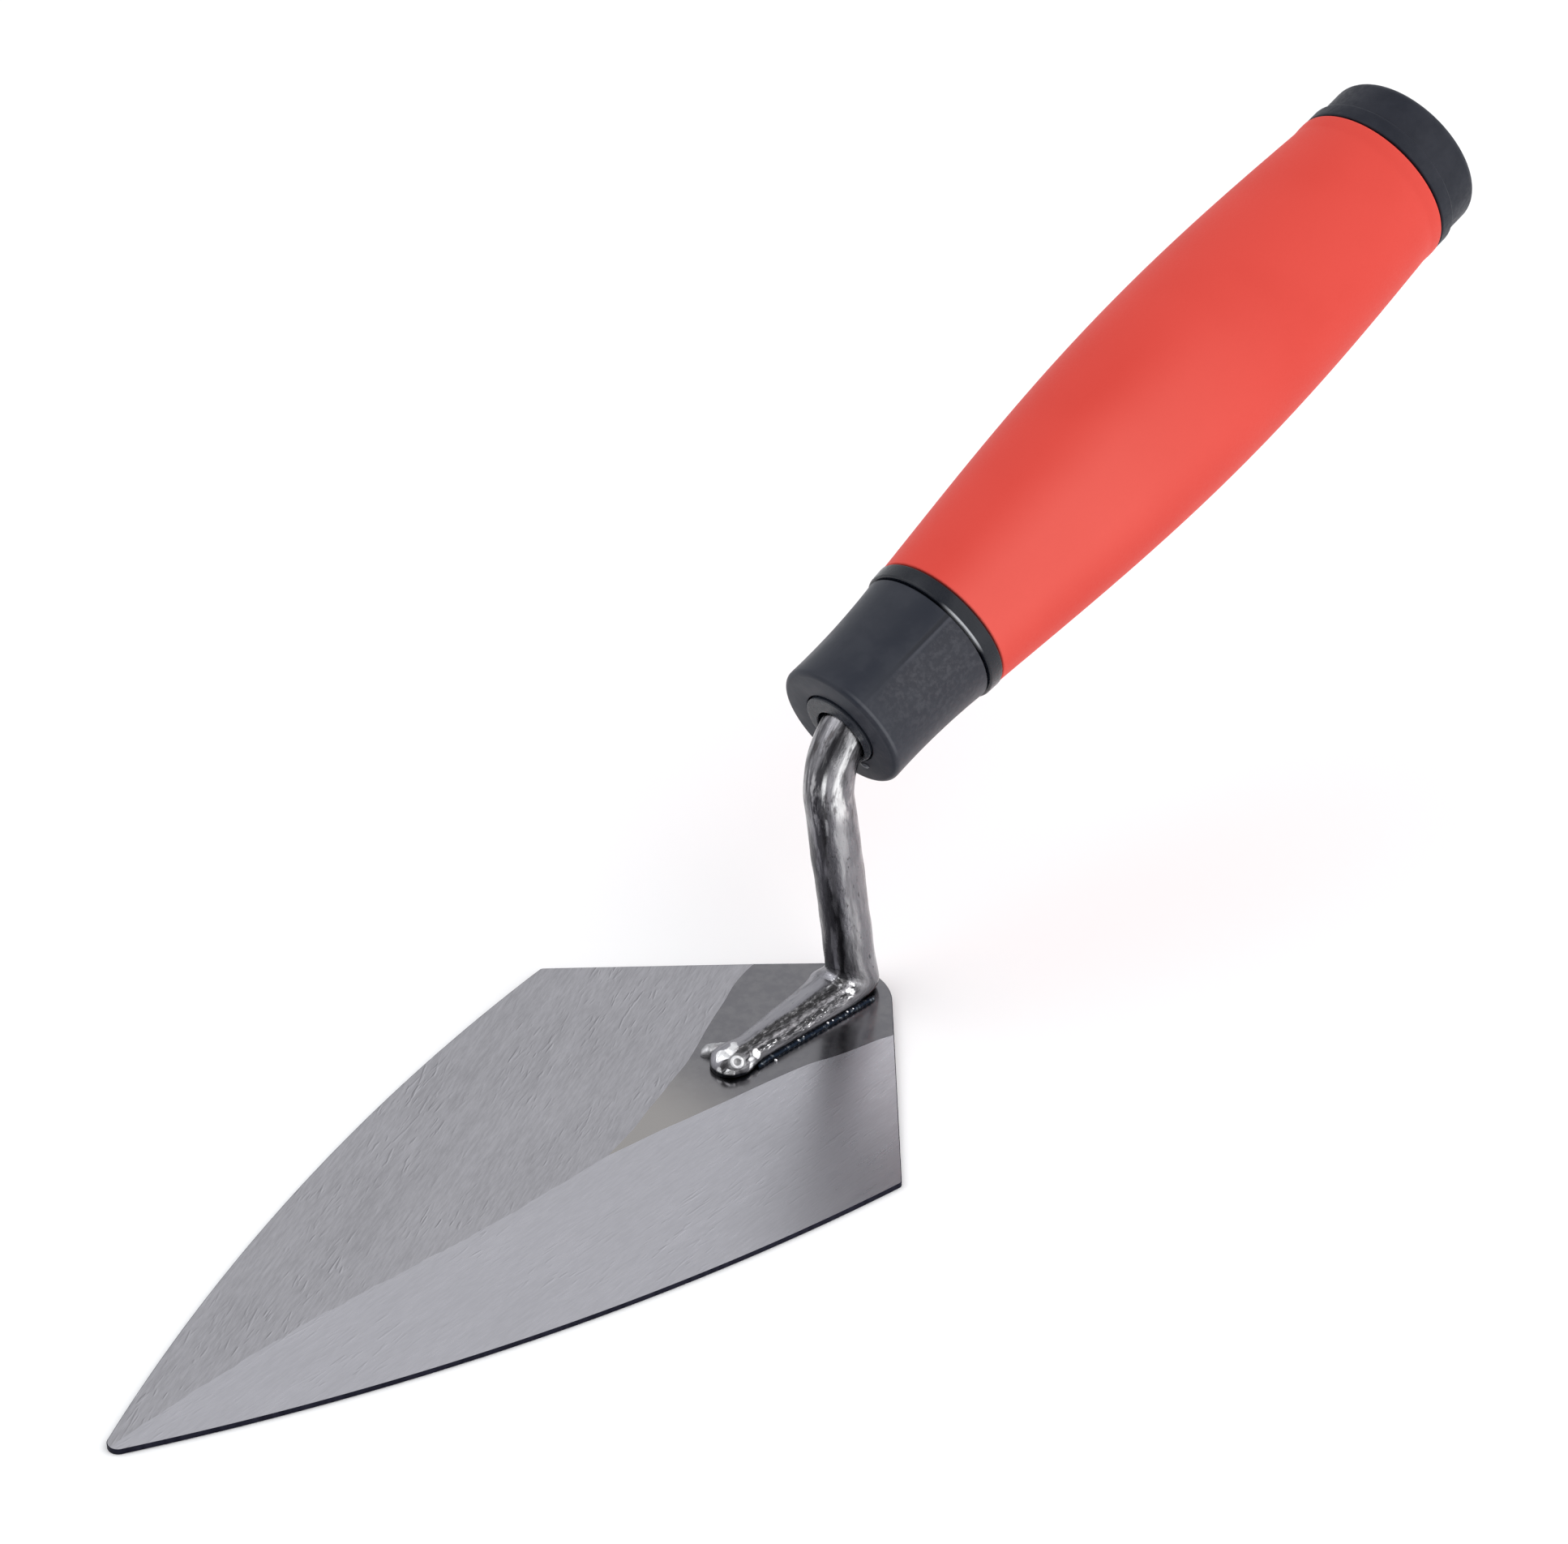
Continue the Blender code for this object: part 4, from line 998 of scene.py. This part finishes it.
floor_mesh.materials.append(pale.wear(Base_Color=floor_tone))
floor = placed("floor", floor_mesh)
floor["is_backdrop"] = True

world = bpy.data.worlds.new("room")
world.use_nodes = True
bpy.context.scene.world = world
room = world.node_tree.nodes["Background"]
room.inputs["Color"].default_value = (0.97, 0.98, 1.0, 1.0)
heading_out = world.node_tree.nodes.new("ShaderNodeTexCoord")
towards = world.node_tree.nodes.new("ShaderNodeVectorMath")
towards.operation = "DOT_PRODUCT"
towards.inputs[1].default_value = (-0.66, -0.65, 0.37)
dimmer = world.node_tree.nodes.new("ShaderNodeMapRange")
dimmer.interpolation_type = "SMOOTHSTEP"
for socket, number in (("From Min", 0.35), ("From Max", 0.85), ("To Min", 0.85), ("To Max", 0.36)):
    dimmer.inputs[socket].default_value = number
world.node_tree.links.new(heading_out.outputs["Generated"], towards.inputs[0])
world.node_tree.links.new(towards.outputs["Value"], dimmer.inputs["Value"])
world.node_tree.links.new(dimmer.outputs[0], room.inputs["Strength"])


def light_panel(name, place, size, power, tint):
    """A big soft panel that faces the middle of the tool."""
    lamp = bpy.data.lights.new(name, "AREA")
    lamp.shape = "RECTANGLE"
    lamp.size, lamp.size_y = size
    lamp.energy, lamp.color = power, tint
    holder = placed(name, lamp)
    holder.location = place
    aim = Vector((0.02, 0.0, 0.04)) - Vector(place)
    holder.rotation_euler = aim.to_track_quat("-Z", "Y").to_euler()


light_panel("key_panel", (0.40, -0.80, 0.60), (1.9, 1.5), 10.8, (1.0, 1.0, 1.0))
light_panel("fill_panel", (-0.6, 0.5, 0.9), (1.2, 1.2), 4.6, (0.97, 0.98, 1.0))

# The frame's width, height, middle and focal length, all in the same unit
FRAME_WIDTH, FRAME_HEIGHT, MIDDLE_X, MIDDLE_Y, FOCAL = 1934, 1904, 970.512, 946.976, 5758.291
lens = bpy.data.cameras.new("camera")
lens.sensor_fit = "HORIZONTAL"
lens.sensor_width = 36.0
lens.lens = FOCAL * lens.sensor_width / FRAME_WIDTH
lens.shift_x = -(MIDDLE_X - FRAME_WIDTH / 2) / FRAME_WIDTH
lens.shift_y = (MIDDLE_Y - FRAME_HEIGHT / 2) / FRAME_WIDTH
lens.clip_start, lens.clip_end = 0.01, 50.0
camera = placed("camera", lens)
camera.matrix_world = Matrix((
    (0.69772528, 0.39898495, -0.59497095, -0.39086949),
    (-0.71634295, 0.38201178, -0.58388336, -0.39894125),
    (-0.00567476, 0.83359343, 0.55234933, 0.42542511),
    (0.0, 0.0, 0.0, 1.0)))
bpy.context.scene.camera = camera
bpy.context.scene.view_settings.view_transform = "Standard"

low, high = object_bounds()
